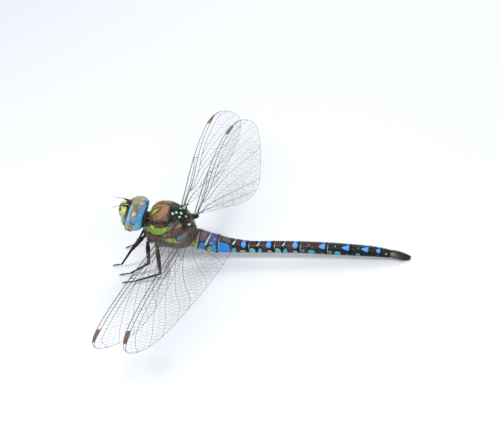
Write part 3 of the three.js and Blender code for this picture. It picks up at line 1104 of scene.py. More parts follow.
@dataclass(frozen=True)
class ThoraxFinish:
    """Brown flanks with green and blue bands, an orange-brown front and a black, spotted back, with painted
    shadows and painted highlights.
    """

    shine: Shine = Shine(0.44, 0.2, specular=0.18, coat=0.04, coat_roughness=0.25, relief=0.5, depth=0.00006)
    shadows: tuple[Stripe, ...] = (
        Stripe((42, 30, 34), ((-22.3, 2.5, 10.6, 0.52), (-18.6, 3.1, 11.0, 0.52)), 0.2),
        Stripe((42, 30, 34), ((-20.0, 3.5, 7.9, 0.3), (-17.6, 3.4, 8.9, 0.3)), 0.2),
        Stripe((66, 48, 40), ((-21.8, 2.3, 11.5, 0.3), (-20.0, 2.3, 11.9, 0.3)), 0.25),
    )
    stripes: tuple[Stripe, ...] = (
        Stripe(LIME, ((-21.4, 1.85, 12.2, 0.2), (-20.5, 1.55, 12.85, 0.32), (-19.7, 1.2, 13.2, 0.1))),
        Stripe((222, 224, 84), ((-22.7, 1.2, 10.7, 0.26), (-22.8, 1.15, 10.1, 0.34)), 0.08),
        # A grey streak of painted sheen on the brown front of the back.
        Stripe((150, 140, 122), ((-19.6, 2.4, 12.0, 0.15), (-18.6, 2.2, 12.3, 0.3)), 0.35, False),
        Stripe(GREEN, ((-23.6, 1.9, 9.6, 0.25), (-22.5, 2.5, 9.1, 0.6), (-21.0, 3.3, 9.0, 0.85),
                       (-19.3, 3.55, 9.2, 0.72), (-17.5, 3.3, 10.0, 0.3))),
        # A pale yellow spot of painted highlight on the first green stripe.
        Stripe((212, 226, 104), ((-21.8, 2.9, 9.95, 0.26), (-21.1, 3.0, 9.9, 0.24)), 0.14, False),
        Stripe((186, 214, 110), ((-20.6, 3.4, 8.75, 0.05), (-18.9, 3.5, 9.35, 0.1), (-17.0, 3.1, 10.3, 0.08)),
               0.1, False),
        Stripe((64, 148, 204), ((-18.0, 3.2, 10.25, 0.16), (-17.0, 3.0, 10.6, 0.28)), 0.16, False),
        Stripe(SAGE, ((-19.6, 3.5, 7.15, 0.2), (-18.4, 3.35, 6.75, 0.62), (-16.6, 3.0, 6.55, 0.8))),
        Stripe((104, 166, 190), ((-16.3, 3.0, 7.0, 0.5), (-14.9, 2.5, 7.7, 0.55)), 0.22),
        Stripe((206, 146, 76), ((-19.3, 3.55, 8.0, 0.1), (-18.5, 3.55, 8.3, 0.24), (-17.9, 3.5, 8.75, 0.12)),
               0.15, False),
        # A pale grey spot of painted highlight high on the rear flank.
        Stripe((192, 186, 170), ((-16.4, 2.95, 9.7, 0.25), (-15.7, 2.7, 9.95, 0.4)), 0.3, False),
        Stripe((126, 96, 70), ((-14.1, 0.0, 9.35, 0.3), (-14.0, 0.55, 8.95, 0.4)), 0.25, False),
        Stripe((96, 70, 56), ((-15.0, 1.6, 9.9, 0.2), (-14.3, 1.3, 9.3, 0.3)), 0.25, False),
    )
    sutures: tuple[tuple[Triple, ...], ...] = (
        ((-22.6, 2.2, 10.9), (-20.6, 2.9, 11.1), (-19.0, 3.1, 11.05), (-17.9, 3.15, 10.8),
         (-16.9, 2.75, 11.2)),
        ((-22.3, 2.7, 7.9), (-20.6, 3.45, 7.75), (-18.2, 3.55, 8.9), (-16.0, 2.9, 9.7)),
        ((-20.6, 3.1, 6.1), (-18.2, 3.5, 7.4), (-15.2, 2.8, 8.5)),
        ((-21.0, 2.2, 5.0), (-18.4, 2.6, 4.9), (-15.6, 2.2, 5.4)),
    )
    spots: tuple[Four, ...] = (
        (-16.95, 1.75, 12.2, 0.3), (-16.25, 1.35, 12.25, 0.26), (-15.8, 0.0, 12.2, 0.24),
        (-15.5, 0.95, 11.75, 0.3), (-15.7, 1.8, 11.35, 0.3), (-14.8, 0.7, 10.75, 0.26),
        (-13.9, 1.95, 9.75, 0.3), (-13.95, 0.75, 8.6, 0.3), (-14.35, 0.0, 6.9, 0.26),
    )

    def colour(self, g: Paint) -> Socket:
        """Wires the thorax's colours: its marks, painted shadows and painted highlights.

        Args:
            g: The material being wired.

        Returns:
            The colour.
        """
        mirrored = g.mirrored(0.32)
        x, y, z = g.axes(mirrored)
        patchy = g.noise(g.place, 0.8, 3.0, 0.6)
        mottle = g.smooth(g.noise(g.place, 2.1, 4.0, 0.65), 0.35, 0.65)
        front = g.zone((z, 10.9, 11.9), (x, -17.6, -18.6))
        glow = g.gap(mirrored, (-18.1, 1.3, 12.9))
        colour = g.layers(
            g.blend(g.smooth(patchy, 0.35, 0.65), (58, 38, 36), (122, 78, 52)),
            (g.times(mottle, 0.3), (40, 28, 30)),
            (front, g.blend(g.smooth(patchy, 0.35, 0.6), (104, 76, 56), (168, 130, 90))),
            (g.times(g.smooth(glow, 1.2, 0.5), 0.8), (194, 134, 72)),
            (g.smooth(z, 6.2, 5.2), g.blend(g.smooth(patchy, 0.4, 0.6), (78, 50, 42), (112, 74, 54))),
        )
        for line in self.shadows:
            streak = g.run(mirrored, line.corners, line.soft)
            colour = g.blend(g.times(streak, 0.8), colour, line.colour)
        rear = g.zone((x, -16.3, -15.7), (y, 2.75, 2.35))
        back = [
            g.zone((x, -18.1, -17.5), (z, 10.5, 11.2)),
            g.times(rear, g.smooth(g.fit(x, -0.9, z), 22.6, 23.4)),
            g.smooth(g.gap(mirrored, (-13.8, 2.1, 9.3)), 1.55, 1.15),
            g.smooth(g.gap(mirrored, (-16.3, 2.35, 11.1)), 1.05, 0.65),
        ]
        colour = g.blend(g.most(*back), colour, g.blend(mottle, (5, 5, 8), (17, 14, 17)))
        seams = [g.run(mirrored, [(*p, 0.13) for p in path], 0.14) for path in self.sutures]
        dark = g.most(g.smooth(g.math("ABSOLUTE", y), 0.16, 0.05), *seams)
        colour = g.blend(g.times(dark, 0.92), colour, (26, 20, 20))
        for line in self.stripes:
            if line.bordered:
                halo = g.run(mirrored, line.corners, line.soft, "Halo")
                colour = g.blend(g.times(halo, 0.9), colour, (30, 22, 22))
            hue = g.blend(mottle, line.colour, dimmed(line.colour, 0.8))
            colour = g.blend(g.run(mirrored, line.corners, line.soft), colour, hue)
        rims = ((g.gap(mirrored, spot), size) for *spot, size in self.spots)
        return g.layers(colour, *((g.smooth(far, size + 0.07, size - 0.07), MINT) for far, size in rims))

    def material(self, effects: Effects) -> Material:
        """Builds the finish, which reads the value "place"."""
        g = Paint("thorax shell", effects)
        return g.shell(self.shine, self.colour(g))


@dataclass
class Thorax:
    """The trunk as one skin: the flanks, the back between the wings, the collar and the hips.

    Each row is a section: its place along the body, the height of its axis, its half height and
    half width, and how far it leans to the rear for each unit up. Each lump is its middle and its
    half sizes; those in pairs are given for one side.
    """

    rows: tuple[Five, ...] = (
        (-22.75, 9.3, 2.1, 1.5, 0.24), (-22.35, 9.2, 3.6, 2.55, 0.24), (-21.45, 9.0, 4.4, 3.2, 0.24),
        (-20.0, 8.7, 4.75, 3.55, 0.24), (-18.4, 8.25, 4.75, 3.6, 0.26), (-17.0, 7.7, 4.4, 3.4, 0.3),
        (-15.9, 7.0, 3.8, 3.0, 0.34), (-15.1, 6.3, 3.0, 2.45, 0.36), (-14.65, 5.75, 2.2, 1.9, 0.34),
    )
    middle: tuple[tuple[float, ...], ...] = (
        (-16.7, 0.0, 11.75, 1.3, 1.15, 0.85), (-14.9, 0.0, 9.15, 1.0, 1.2, 0.9),
        (-15.85, 0.0, 11.75, 0.42, 0.5, 0.5), (-14.3, 0.0, 10.1, 0.36, 0.42, 0.42),
        (-14.15, 0.0, 7.4, 0.7, 1.2, 1.2), (-23.2, 0.0, 10.3, 0.5, 1.25, 0.75),
        (-23.1, 0.0, 8.4, 0.85, 1.35, 1.9), (-23.45, 0.0, 9.6, 0.42, 0.95, 0.8),
        (-22.6, 0.0, 6.2, 1.2, 1.5, 1.2),
    )
    pairs: tuple[tuple[float, ...], ...] = (
        (-16.375, 2.05, 11.0, 1.15, 0.75, 0.6), (-14.0, 1.8, 9.2, 0.98, 0.7, 0.54),
        (-16.95, 0.85, 12.0, 0.75, 0.7, 0.55), (-16.95, 1.75, 12.0, 0.32, 0.34, 0.3),
        (-15.5, 0.95, 11.5, 0.34, 0.34, 0.34), (-15.7, 1.75, 11.15, 0.4, 0.36, 0.3),
        (-14.95, 0.8, 10.3, 0.5, 0.5, 0.5), (-13.9, 1.9, 9.55, 0.36, 0.34, 0.3),
        (-14.0, 0.75, 8.45, 0.34, 0.36, 0.3), (-22.7, 1.2, 10.35, 0.42, 0.38, 0.6),
        (-23.15, 1.3, 9.1, 0.85, 0.95, 1.45), (-22.7, 1.9, 8.6, 0.8, 0.9, 1.9),
        (-23.75, 0.95, 6.9, 1.0, 0.6, 0.85), (-23.2, 1.45, 5.75, 0.85, 0.65, 0.75),
        (-21.5, 1.75, 4.95, 0.9, 0.7, 0.75),
    )
    rings: int = 40
    sides: int = 96
    power: float = 2.25
    voxel: float = 0.085
    finish: ThoraxFinish = ThoraxFinish()

    def surface(self) -> Surface:
        """Melts the trunk's bodies into one skin and carves its ridges and seams.

        Returns:
            The skin, with its place as a value.
        """
        turn = wheel(self.sides)
        out, rise = (np.sign(w) * np.abs(w) ** (2 / self.power) for w in (np.cos(turn), np.sin(turn)))
        x, z, high, wide, lean = catmull(np.asarray(self.rows), self.rings).T[:, :, None]
        parts = [lofted(np.stack([x + lean * high * rise, wide * out, z + high * rise], -1))]
        parts += [lump(row[:3], row[3:]) for row in self.middle]
        for side in Side:
            parts += [lump(side.row(row[:3]), row[3:]) for row in self.pairs]
        skin = fused(parts, self.voxel, 5)
        points = skin.points
        x, y, z = points.T
        # The keel of the front and the ridge behind it, the seams, the breathing hole, the breast's groove.
        front = ease(x, -22.4, -21.6) * ease(-x, 17.6, 18.4) * ease(z, 10.8, 11.8)
        push = 0.16 * hump(y, 0, 0.13) * front - 0.05 * hump(np.abs(y), 0.34, 0.16) * front
        push += 0.14 * groove(points, ((-17.9, 0.0, 12.75), (-17.75, 1.2, 12.5), (-17.5, 2.4, 11.7)), 0.16)
        for path in self.finish.sutures:
            push -= 0.085 * groove(points, path, 0.13)
        breath = ((-19.5, 3.45, 7.45), (-19.35, 3.5, 7.15))
        push += 0.07 * groove(points, breath, 0.34) - 0.12 * groove(points, breath, 0.17)
        push -= 0.09 * hump(y, 0, 0.2) * ease(-z, -5.6, -4.6) * ease(-x, 15.5, 17)
        return skin.pushed(push)

    def build(self, shop: Shop) -> Surface:
        """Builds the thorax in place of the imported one.

        Args:
            shop: The shared effects and the body's place.

        Returns:
            Its skin.
        """
        skin = self.surface()
        shop.add(skin, "thorax_skin", self.finish.material(shop.effects), "thorax", "thorax")
        return skin


@dataclass
class Neck:
    """The thin, wrinkled neck between the collar and the head."""

    front: float = -24.2
    rear: float = NECK_REAR
    height: float = 10.1
    rings: int = 40
    folds: float = 34.0
    finish: DarkFinish = DarkFinish("neck skin", (58, 48, 40), (84, 70, 56), Shine(roughness=0.6, relief=0.6))

    def build(self, shop: Shop) -> None:
        """Builds the neck as a narrow tube with folds.

        Args:
            shop: The shared effects and the body's place.
        """
        x, turn = np.linspace(self.front, self.rear, self.rings), wheel(self.rings)
        share = (x - self.front) / (self.rear - self.front)
        size = 0.78 + 0.5 * ease(share, 0.0, 0.6) + 0.035 * np.sin(share * self.folds)
        ring = np.stack([0 * turn, np.cos(turn), np.sin(turn)], -1)
        centres = np.stack([x, 0 * x, 0 * x + self.height], -1)
        tube = lofted(ring[None] * size[:, None, None] + centres[:, None], along=share[:, None])
        shop.add(tube, "neck_skin", self.finish.material(shop.effects), "dark_shell", "neck")


class GeometryTree(Graph):
    """A Geometry Nodes tree being wired, with named inputs for its sizes."""

    def __init__(self, name: str, inputs: dict[str, float | int]) -> None:
        """Starts the tree.

        Args:
            name: Its name.
            inputs: Each input's standing value by name.
        """
        super().__init__(bpy.data.node_groups.new(name, "GeometryNodeTree"))
        face = self.tree.interface
        face.new_socket("Geometry", in_out="INPUT", socket_type="NodeSocketGeometry")
        face.new_socket("Geometry", in_out="OUTPUT", socket_type="NodeSocketGeometry")
        face.new_socket("Material", in_out="INPUT", socket_type="NodeSocketMaterial")
        for key, value in inputs.items():
            kind = "NodeSocketInt" if isinstance(value, int) else "NodeSocketFloat"
            face.new_socket(key, in_out="INPUT", socket_type=kind).default_value = value
        self.entry = self.tree.nodes.new("NodeGroupInput").outputs

    def stored(self, geometry: Socket, name: str, kind: str, domain: str, value: Socket) -> Socket:
        """Stores a value on a geometry under a name."""
        values = {"Geometry": geometry, "Name": name, "Value": value}
        return self.node("GeometryNodeStoreNamedAttribute", values, data_type=kind, domain=domain)

    def named(self, name: str, kind: str = "FLOAT") -> Socket:
        """Reads a stored value."""
        return self.node("GeometryNodeInputNamedAttribute", {"Name": name}, data_type=kind)

    def placed(self, points: Socket, way: Socket, size: Socket, sides: int, steps: int) -> Socket:
        """Stands a hair on each point.

        Args:
            points: The roots.
            way: The way that each hair points.
            size: The length of each.
            sides: The faces round a hair.
            steps: The faces along it.

        Returns:
            The hairs: closed cones that bend sideways.
        """
        values = {"Vertices": sides, "Side Segments": steps, "Radius Top": 0.0, "Radius Bottom": 1.0}
        cone = self.node("GeometryNodeMeshCone", values | {"Depth": 1.0}, fill_type="NGON")
        x, y, z = self.axes(self.node("GeometryNodeInputPosition", {}))
        marked = self.stored(cone, "along", "FLOAT", "POINT", z)
        patch = self.xyz(z, self.fit(self.math("ARCTAN2", y, x), 0.159, 0.5))
        marked = self.stored(marked, "patch", "FLOAT_VECTOR", "POINT", patch)
        thick = self.entry["Thickness"]
        push = self.times(z, z, self.over(self.times(self.entry["Bend"], 0.5), thick))
        hair = self.node("GeometryNodeSetPosition", {"Geometry": marked, "Offset": self.xyz(push)})
        values = {"Points": points, "Instance": hair, "Rotation": way, "Scale": self.xyz(thick, thick, size)}
        return self.node("GeometryNodeInstanceOnPoints", values)

    def finish(self, geometry: Socket) -> None:
        """Ends the tree: makes the instances real and gives them the material.

        Args:
            geometry: What the tree makes.
        """
        real = self.node("GeometryNodeRealizeInstances", {0: geometry})
        dressed = self.node("GeometryNodeSetMaterial", {"Geometry": real, "Material": self.entry["Material"]})
        self.wire(self.tree.nodes.new("NodeGroupOutput"), {0: dressed})

    def run(self, mesh: Mesh, material: Material, **values: float | int) -> Mesh:
        """Runs the tree on a mesh.

        Args:
            mesh: What the tree starts from. It is used up.
            material: The material for the tree's Material input.
            **values: Values for other inputs, by name.

        Returns:
            The result as a plain mesh.
        """
        holder = linked(self.tree.name, mesh)
        modifier = holder.modifiers.new("tree", "NODES")
        modifier.node_group = self.tree
        wanted = {"Material": material} | values
        for item in self.tree.interface.items_tree:
            if item.in_out == "INPUT" and item.name in wanted:
                modifier[item.identifier] = wanted[item.name]
        done = settled(holder)
        holder.modifiers.remove(modifier)
        bpy.data.objects.remove(holder)
        bpy.data.meshes.remove(mesh)
        return done


def bristle_tree() -> GeometryTree:
    """Stiff, tapering bristles that stand on points.

    Returns:
        The tree, which reads "way" and "size" on the points.
    """
    g = GeometryTree("Bristles", {"Thickness": 0.03, "Bend": 0.15})
    points = g.node("GeometryNodeMeshToPoints", {"Mesh": g.entry["Geometry"]})
    way = {"Vector": g.named("way", "FLOAT_VECTOR")}
    turn = g.node("FunctionNodeAlignRotationToVector", way, axis="Z")
    g.finish(g.placed(points, turn, g.named("size"), 6, 4))
    return g


def fur_tree() -> GeometryTree:
    """Fine hair on a skin, each hair a curved cone with its patch on the coat's map.

    Returns:
        The tree. It reads the skin's "growth", the share of the full number of hairs, "flow", the
        way that they lie, "length", and "chart", a turn as two sides and a height for the map.
    """
    inputs = {"Density": 60.0, "Gap": 0.02, "Thickness": 0.012, "Stand": 0.5, "Bend": 0.4}
    g = GeometryTree("Fur", inputs | {"Patch": 0.003, "Seed": 3})
    seed, flow = g.entry["Seed"], g.named("flow", "FLOAT_VECTOR")
    values = {"Mesh": g.entry["Geometry"], "Distance Min": g.entry["Gap"], "Seed": seed}
    values |= {"Density Max": g.entry["Density"], "Density Factor": g.named("growth")}
    spread = g.node("GeometryNodeDistributePointsOnFaces", values, distribute_method="POISSON").node.outputs
    number = g.node("GeometryNodeInputIndex", {})
    values = {VECTOR_LOW: (-1.0,) * 3, VECTOR_HIGH: (1.0,) * 3, RANDOM_ID: number, RANDOM_SEED: seed}
    wild = g.node("FunctionNodeRandomValue", values, data_type="FLOAT_VECTOR")
    values = {NUMBER_LOW: 0.62, NUMBER_HIGH: 1.15, RANDOM_ID: number, RANDOM_SEED: 11}
    long = g.node("FunctionNodeRandomValue", values, 1, data_type="FLOAT")
    way = g.vector("ADD", g.scaled(spread["Normal"], g.entry["Stand"]), flow)
    way = g.vector("ADD", way, g.scaled(wild, 0.34))
    turn = g.node("FunctionNodeAlignRotationToVector", {"Vector": way}, axis="Z")
    values = {"Rotation": turn, "Vector": flow}
    turn = g.node("FunctionNodeAlignRotationToVector", values, axis="X", pivot_axis="Z")
    hairs = g.placed(spread["Points"], turn, g.times(g.named("length"), long), 3, 2)
    real = g.node("GeometryNodeRealizeInstances", {0: hairs})
    a, b, level = g.axes(g.named("chart", "FLOAT_VECTOR"))
    root = g.xyz(g.fit(g.math("ARCTAN2", a, b), 0.49 / math.pi, 0.5), level)
    centred = g.vector("SUBTRACT", g.named("patch", "FLOAT_VECTOR"), (0.5, 0.5, 0.0))
    patch = g.vector("ADD", root, g.scaled(centred, g.entry["Patch"]))
    g.finish(g.stored(real, COAT_MAP, "FLOAT2", "CORNER", patch))
    return g


def vein_tree() -> GeometryTree:
    """Round tubes along edges.

    Returns:
        The tree, which reads the radius "girth" on the points.
    """
    g = GeometryTree("Vein tubes", {"Sides": 5})
    line = g.node("GeometryNodeMeshToCurve", {"Mesh": g.entry["Geometry"]})
    ring = g.node("GeometryNodeCurvePrimitiveCircle", {"Resolution": g.entry["Sides"], "Radius": 1.0})
    values = {"Curve": line, "Profile Curve": ring, "Scale": g.named("girth"), "Fill Caps": True}
    g.finish(g.node("GeometryNodeCurveToMesh", values))
    return g


@dataclass(frozen=True)
class EyeFinish:
    """Sky-blue facets with an olive crown, a pale front band and dark spots that look into the eye."""

    facets: float = 24.0
    flank: tuple[Four, ...] = ((-2.5, 1.75, 3.3, 0.26), (-3.08, 3.0, 2.4, 0.3), (-3.45, 3.75, 1.6, 0.32))
    spots: tuple[Four, ...] = (
        (-2.9, 4.25, 0.96, 0.3), (-2.3, 4.35, 0.75, 0.24), (-2.75, 4.1, 1.5, 0.16), (-1.85, 4.25, 1.1, 0.14),
    )

    def material(self, effects: Effects) -> Material:
        """Builds the finish, which reads "place" in the head and "rear", the way from the hind rim.

        Args:
            effects: The shared effects.

        Returns:
            The material.
        """
        g = Paint("compound eye", effects)
        mirrored, rear = g.mirrored(0.35), g.attribute("rear")
        x, y, z = g.axes(mirrored)
        cloudy = g.noise(g.place, 1.3, 3.0, 0.6)
        olive = g.blend(g.smooth(cloudy, 0.3, 0.7), (98, 100, 84), (134, 134, 102))
        olive = g.blend(g.smooth(y, 1.5, 0.7), olive, (142, 136, 84))
        heart = g.gap(g.vector("MULTIPLY", mirrored, (1.0, 0.42, 0.42)), (-1.6, 1.2, 1.02))
        under = g.zone((rear, 1.1, 1.9), (z, 1.0, 0.5), (z, -2.2, -1.2))
        colour = g.layers(
            g.blend(g.smooth(z, 1.4, 0.2), (56, 146, 202), (96, 192, 216)),
            (g.smooth(z, -0.9, -1.9), (104, 152, 130)),
            (
                g.zone((rear, 0.55, 1.05), (z, 0.95, 1.9)),
                g.blend(g.smooth(rear, 0.8, 1.9), (84, 128, 168), olive),
            ),
            (g.times(g.smooth(heart, 0.62, 0.2), 0.65), (74, 78, 74)),
            (g.run(mirrored, self.flank, 0.2), (124, 192, 226)),
            (under, g.blend(g.smooth(cloudy, 0.35, 0.65), (122, 112, 58), (146, 138, 84))),
            (g.zone((rear, 0.8, 0.3), (z, -1.6, 0.4)), (56, 166, 222)),
        )
        for *spot, size in self.spots:
            mask = g.smooth(g.gap(mirrored, spot), size + 0.1, size - 0.12)
            colour = g.blend(g.times(mask, 0.9), colour, (16, 20, 28))
        values = {"Vector": g.place, "Scale": self.facets, "Randomness": 0.45}
        cells = g.node("ShaderNodeTexVoronoi", values, "Distance")
        colour = g.layers(
            colour,
            # The black rim at the front of the eye: partly the eye's own dark edge, partly painted shade in
            # the gap beside the face.
            (g.smooth(g.fit(z, -0.52, x), -4.5, -4.7), INK),
            (g.smooth(rear, 0.07, 0.0), INK),
            (g.times(g.smooth(cells, 0.35, 0.8), 0.3), (20, 30, 40)),
        )
        values = {"Base Color": colour, "Normal": g.bump(g.less(1.0, cells), 0.2, 0.000014)}
        values |= {"Roughness": g.fit(cloudy, 0.12, 0.22), "Coat Weight": 0.25, "Coat Roughness": 0.14}
        return g.finished(values)


@dataclass(frozen=True)
class FaceFinish:
    """A pale yellow-green face with a black T on the forehead and dark seams, on a black skull."""

    shine: Shine = Shine(0.38, 0.12, specular=0.3, coat=0.1, coat_roughness=0.2, relief=0.3)
    seams: tuple[tuple[Four, ...], ...] = (
        ((-5.75, 0.0, 0.5, 0.05), (-5.3, 1.5, 0.48, 0.05), (-4.4, 2.25, 0.42, 0.05)),
        ((-5.75, 0.0, -1.2, 0.05), (-5.3, 1.1, -1.18, 0.055), (-4.3, 1.85, -1.05, 0.06)),
        ((-5.3, 0.0, -2.5, 0.12), (-4.4, 1.5, -2.35, 0.16)),
    )
    frons: Triple = (-4.25, 0.0, 1.7)
    frons_half: Triple = (1.6, 2.25, 1.45)

    def material(self, effects: Effects) -> Material:
        """Builds the finish, which reads "place" in the head.

        Args:
            effects: The shared effects.

        Returns:
            The material.
        """
        g = Paint("head shell", effects)
        mirrored = g.mirrored(0.12)
        x, y, z = g.axes(mirrored)
        tone = g.smooth(g.noise(g.place, 1.1, 3.0), 0.3, 0.7)
        ahead = g.over(g.less(self.frons[0], x), self.frons_half[0])
        above = g.over(g.less(z, self.frons[2]), self.frons_half[2])
        ridge = g.times(g.less(above, ahead), 0.707)
        brow = g.smooth(g.fit(z, -0.38, x), -5.06, -4.92)
        brow = g.times(brow, g.smooth(y, 0.6, 0.9), g.smooth(z, 0.2, 0.5))
        skull = g.most(
            g.smooth(x, -3.5, -3.05),
            g.smooth(z, 3.12, 3.28),
            g.zone((y, 1.98, 2.12), (x, -5.2, -4.9), (z, 1.0, 0.5)),
            brow,
        )
        bar = g.zone((ridge, -0.14, -0.04), (ridge, 0.3, 0.2), (y, 1.9, 1.6))
        stem = g.zone((y, 0.3, 0.2), (ridge, 0.1, 0.2), (z, 2.2, 2.5))
        seams = (g.run(mirrored, path, 0.05) for path in self.seams)
        colour = g.layers(
            g.blend(tone, (194, 198, 98), (218, 220, 118)),
            (g.smooth(ridge, 0.0, -0.2), g.blend(tone, (158, 178, 168), (186, 198, 168))),
            (g.smooth(z, 0.75, 0.35), g.blend(tone, (142, 178, 168), (172, 198, 170))),
            (g.smooth(z, -1.0, -1.25), g.blend(tone, (184, 182, 112), (206, 202, 136))),
            (skull, INK),
            (g.smooth(g.gap(mirrored, (-0.15, 0.0, 2.95)), 0.46, 0.34), MINT),
            (g.zone((z, -2.1, -2.5), (x, -2.6, -3.2)), (150, 124, 74)),
            (g.most(g.times(bar, g.smooth(z, 1.9, 2.2)), stem, *seams), INK),
        )
        return g.shell(self.shine, colour)


@dataclass
class Head:
    """The head in its own frame: the origin is the neck joint and the face points to -X.

    A lump of the shell is its middle, its half sizes and how boxy it is; pairs are for one side.
    """

    pivot: Triple = (-22.9, 0.0, 10.95)
    turn: float = math.radians(9)
    eye_centre: Triple = (-2.45, 0.0, 0.5)
    eye_half: Triple = (2.8, 4.4, 3.1)
    eye_lean: float = 0.12
    eye_rings: int = 90
    eye_sides: int = 150
    hind_plane: tuple[float, float] = (-0.95, 0.36)
    shell: tuple[tuple[float, ...], ...] = (
        (-4.25, 0.0, 1.7, 1.6, 2.25, 1.45, 2.7), (-4.0, 0.0, 0.1, 1.32, 2.2, 2.65, 3.0),
        (-4.75, 0.0, -0.25, 1.12, 2.3, 0.82, 2.8), (-4.85, 0.0, -0.95, 0.85, 1.75, 0.5, 2.4),
        (-4.65, 0.0, -1.8, 0.98, 1.7, 0.75, 2.8), (-3.7, 0.0, -2.3, 1.35, 1.6, 0.55, 2.4),
        (-2.4, 0.0, -0.9, 1.9, 1.75, 2.0, 2.0), (-3.35, 0.0, 3.2, 0.62, 0.62, 0.5, 2.2),
        (-0.2, 0.0, 2.75, 0.4, 0.5, 0.36, 2.0),
    )
    pairs: tuple[tuple[float, ...], ...] = (
        (-4.25, 1.95, -0.45, 0.8, 0.55, 0.75), (-4.15, 1.6, -1.75, 0.85, 0.55, 0.85),
        (-3.5, 2.3, -0.6, 1.0, 0.75, 1.3),
    )
    scape: tuple[Five, ...] = (
        (-3.5, 0.95, 3.1, 0.17, 0.17), (-4.1, 1.12, 3.34, 0.18, 0.18), (-4.7, 1.25, 3.5, 0.12, 0.12),
    )
    lash: tuple[Five, ...] = (
        (-4.6, 1.22, 3.48, 0.07, 0.07), (-5.5, 1.5, 3.68, 0.05, 0.05), (-6.4, 1.85, 3.7, 0.035, 0.035),
        (-7.2, 2.2, 3.6, 0.02, 0.02),
    )
    voxel: float = 0.075
    eye_finish: EyeFinish = EyeFinish()
    face_finish: FaceFinish = FaceFinish()

    def to_body(self, points: Array) -> Array:
        """Puts points of the head's frame on the body.

        Args:
            points: The points.

        Returns:
            The points on the body.
        """
        cos, sin = math.cos(self.turn), math.sin(self.turn)
        x, y, z = points.T
        return np.stack([cos * x - sin * y, sin * x + cos * y, z], -1) + self.pivot

    def eye(self, side: Side) -> Surface:
        """One eye: half of the dome, rounded off behind, with a dip where the eyes meet.

        Args:
            side: The side that it is on.

        Returns:
            The eye, on the body.
        """
        out = np.sin(np.linspace(0, math.pi / 2, self.eye_rings)) * self.eye_half[1]
        out[0], out[-1] = 0.02, self.eye_half[1] * 0.9995
        size = np.sqrt(1 - (out / self.eye_half[1]) ** 2) * (1 - 0.07 * hump(out, 0, 0.6))
        turn = wheel(self.eye_sides)
        rise = self.eye_half[2] * np.outer(size, np.sin(turn))
        # The crown reaches further back than the flank, and the dome is rounded off at the hind plane.
        way, up = np.cos(turn), ease(np.sin(turn), 0.0, 0.5)
        way = way * (1 + 0.75 * (1 + way) * up * (way < 0))
        ahead = -self.eye_half[0] * np.outer(size, way) + self.eye_lean * rise
        across = np.outer(out, np.ones(self.eye_sides)) * side.value
        rings = np.stack([ahead, across, rise], -1) + self.eye_centre
        rings = rings if side is Side.RIGHT else rings[:, ::-1]
        y, z = rings[..., 1], rings[..., 2]
        limit = self.hind_plane[0] + self.hind_plane[1] * z + 0.16 * np.sin((z + 1.4) * 1.25)
        limit += 0.085 * np.maximum(z, 0) ** 2 - 0.05 * np.abs(y)
        rings[..., 0] -= 0.1 * np.logaddexp(0, (rings[..., 0] - limit) / 0.1)
        return lofted(rings, rear=limit - rings[..., 0]).moved(self.to_body)

    def head_shell(self) -> Surface:
        """The face, the skull and the mouth parts as one shell with carved seams.

        Returns:
            The shell, in the head's own frame.
        """
        parts = [lump(row[:3], row[3:6], row[6], 40) for row in self.shell]
        parts.append(lump((-0.78, 0.0, 0.3), (0.42, 3.45, 2.35), 2.0, 56, 0.4))
        for side in Side:
            parts += [lump(side.row(row[:3]), row[3:], 2.2, 32) for row in self.pairs]
        skin = fused(parts, self.voxel, 3)
        points = skin.points
        x, y, z = points.T
        # The line down the forehead, the seams, two grooves down the lower face, and the hollow behind.
        ahead = ease(-x, 4.9, 5.4)
        push = -0.05 * hump(y, 0, 0.14) * ahead * ease(z, -0.9, 1.6)
        for path in self.face_finish.seams[:2]:
            push -= 0.07 * groove(points, [corner[:3] for corner in path], 0.09)
        push -= 0.05 * hump(np.abs(y), 0.55, 0.2) * ahead * ease(-z, 0.0, 0.5)
        hollow = ease(x - self.hind_plane[1] * z, -0.62, -0.45)
        push -= 0.3 * hollow * ease(2.4 - np.hypot(0.7 * y, z), 0, 1.2)
        return skin.pushed(push)

    def build(self, shop: Shop) -> Surface:
        """Builds the eyes, the shell, the simple eyes and the feelers.

        Args:
            shop: The shared effects and the body's place.

        Returns:
            The head's shell, on which its hairs grow, in the head's own frame.
        """
        eye_material, shell = self.eye_finish.material(shop.effects), self.head_shell()
        nodes = [f"head_{part}" for part in ("skull", "frons", "clypeus", "labrum")]
        material = self.face_finish.material(shop.effects)
        shop.add(shell.moved(self.to_body), "head_shell", material, "face", *nodes)
        beads = [lump((-3.78, 0.0, 3.62), (0.15, 0.17, 0.15), 2, 20)]
        beads += [lump(side.row((-3.3, 0.5, 3.55)), (0.13, 0.13, 0.13), 2, 20) for side in Side]
        simple = Surface.joined(beads)
        simple.values["along"] = np.ones(len(simple.points))
        bead_finish = DarkFinish("simple eye", (54, 40, 30), (54, 40, 30), Shine(0.12, coat=0.8, relief=0.05))
        shop.add(simple.moved(self.to_body), "ocelli", bead_finish.material(shop.effects), "eye")
        dark = DarkFinish("feeler shell").material(shop.effects)
        for side in Side:
            eye, name = f"eye_{side.word}", f"feeler_{side.word}"
            shop.add(self.eye(side), f"compound_{eye}", eye_material, "eye", eye)
            parts = []
            for knots, count, sides in ((self.scape, 24, 14), (self.lash, 34, 10)):
                parts.append(swept([side.row(row) for row in knots], count, sides))
            feeler = Surface.joined(parts).moved(self.to_body)
            shop.add(feeler, name, dark, "dark_shell", f"antenna_{side.word}")
        return shell


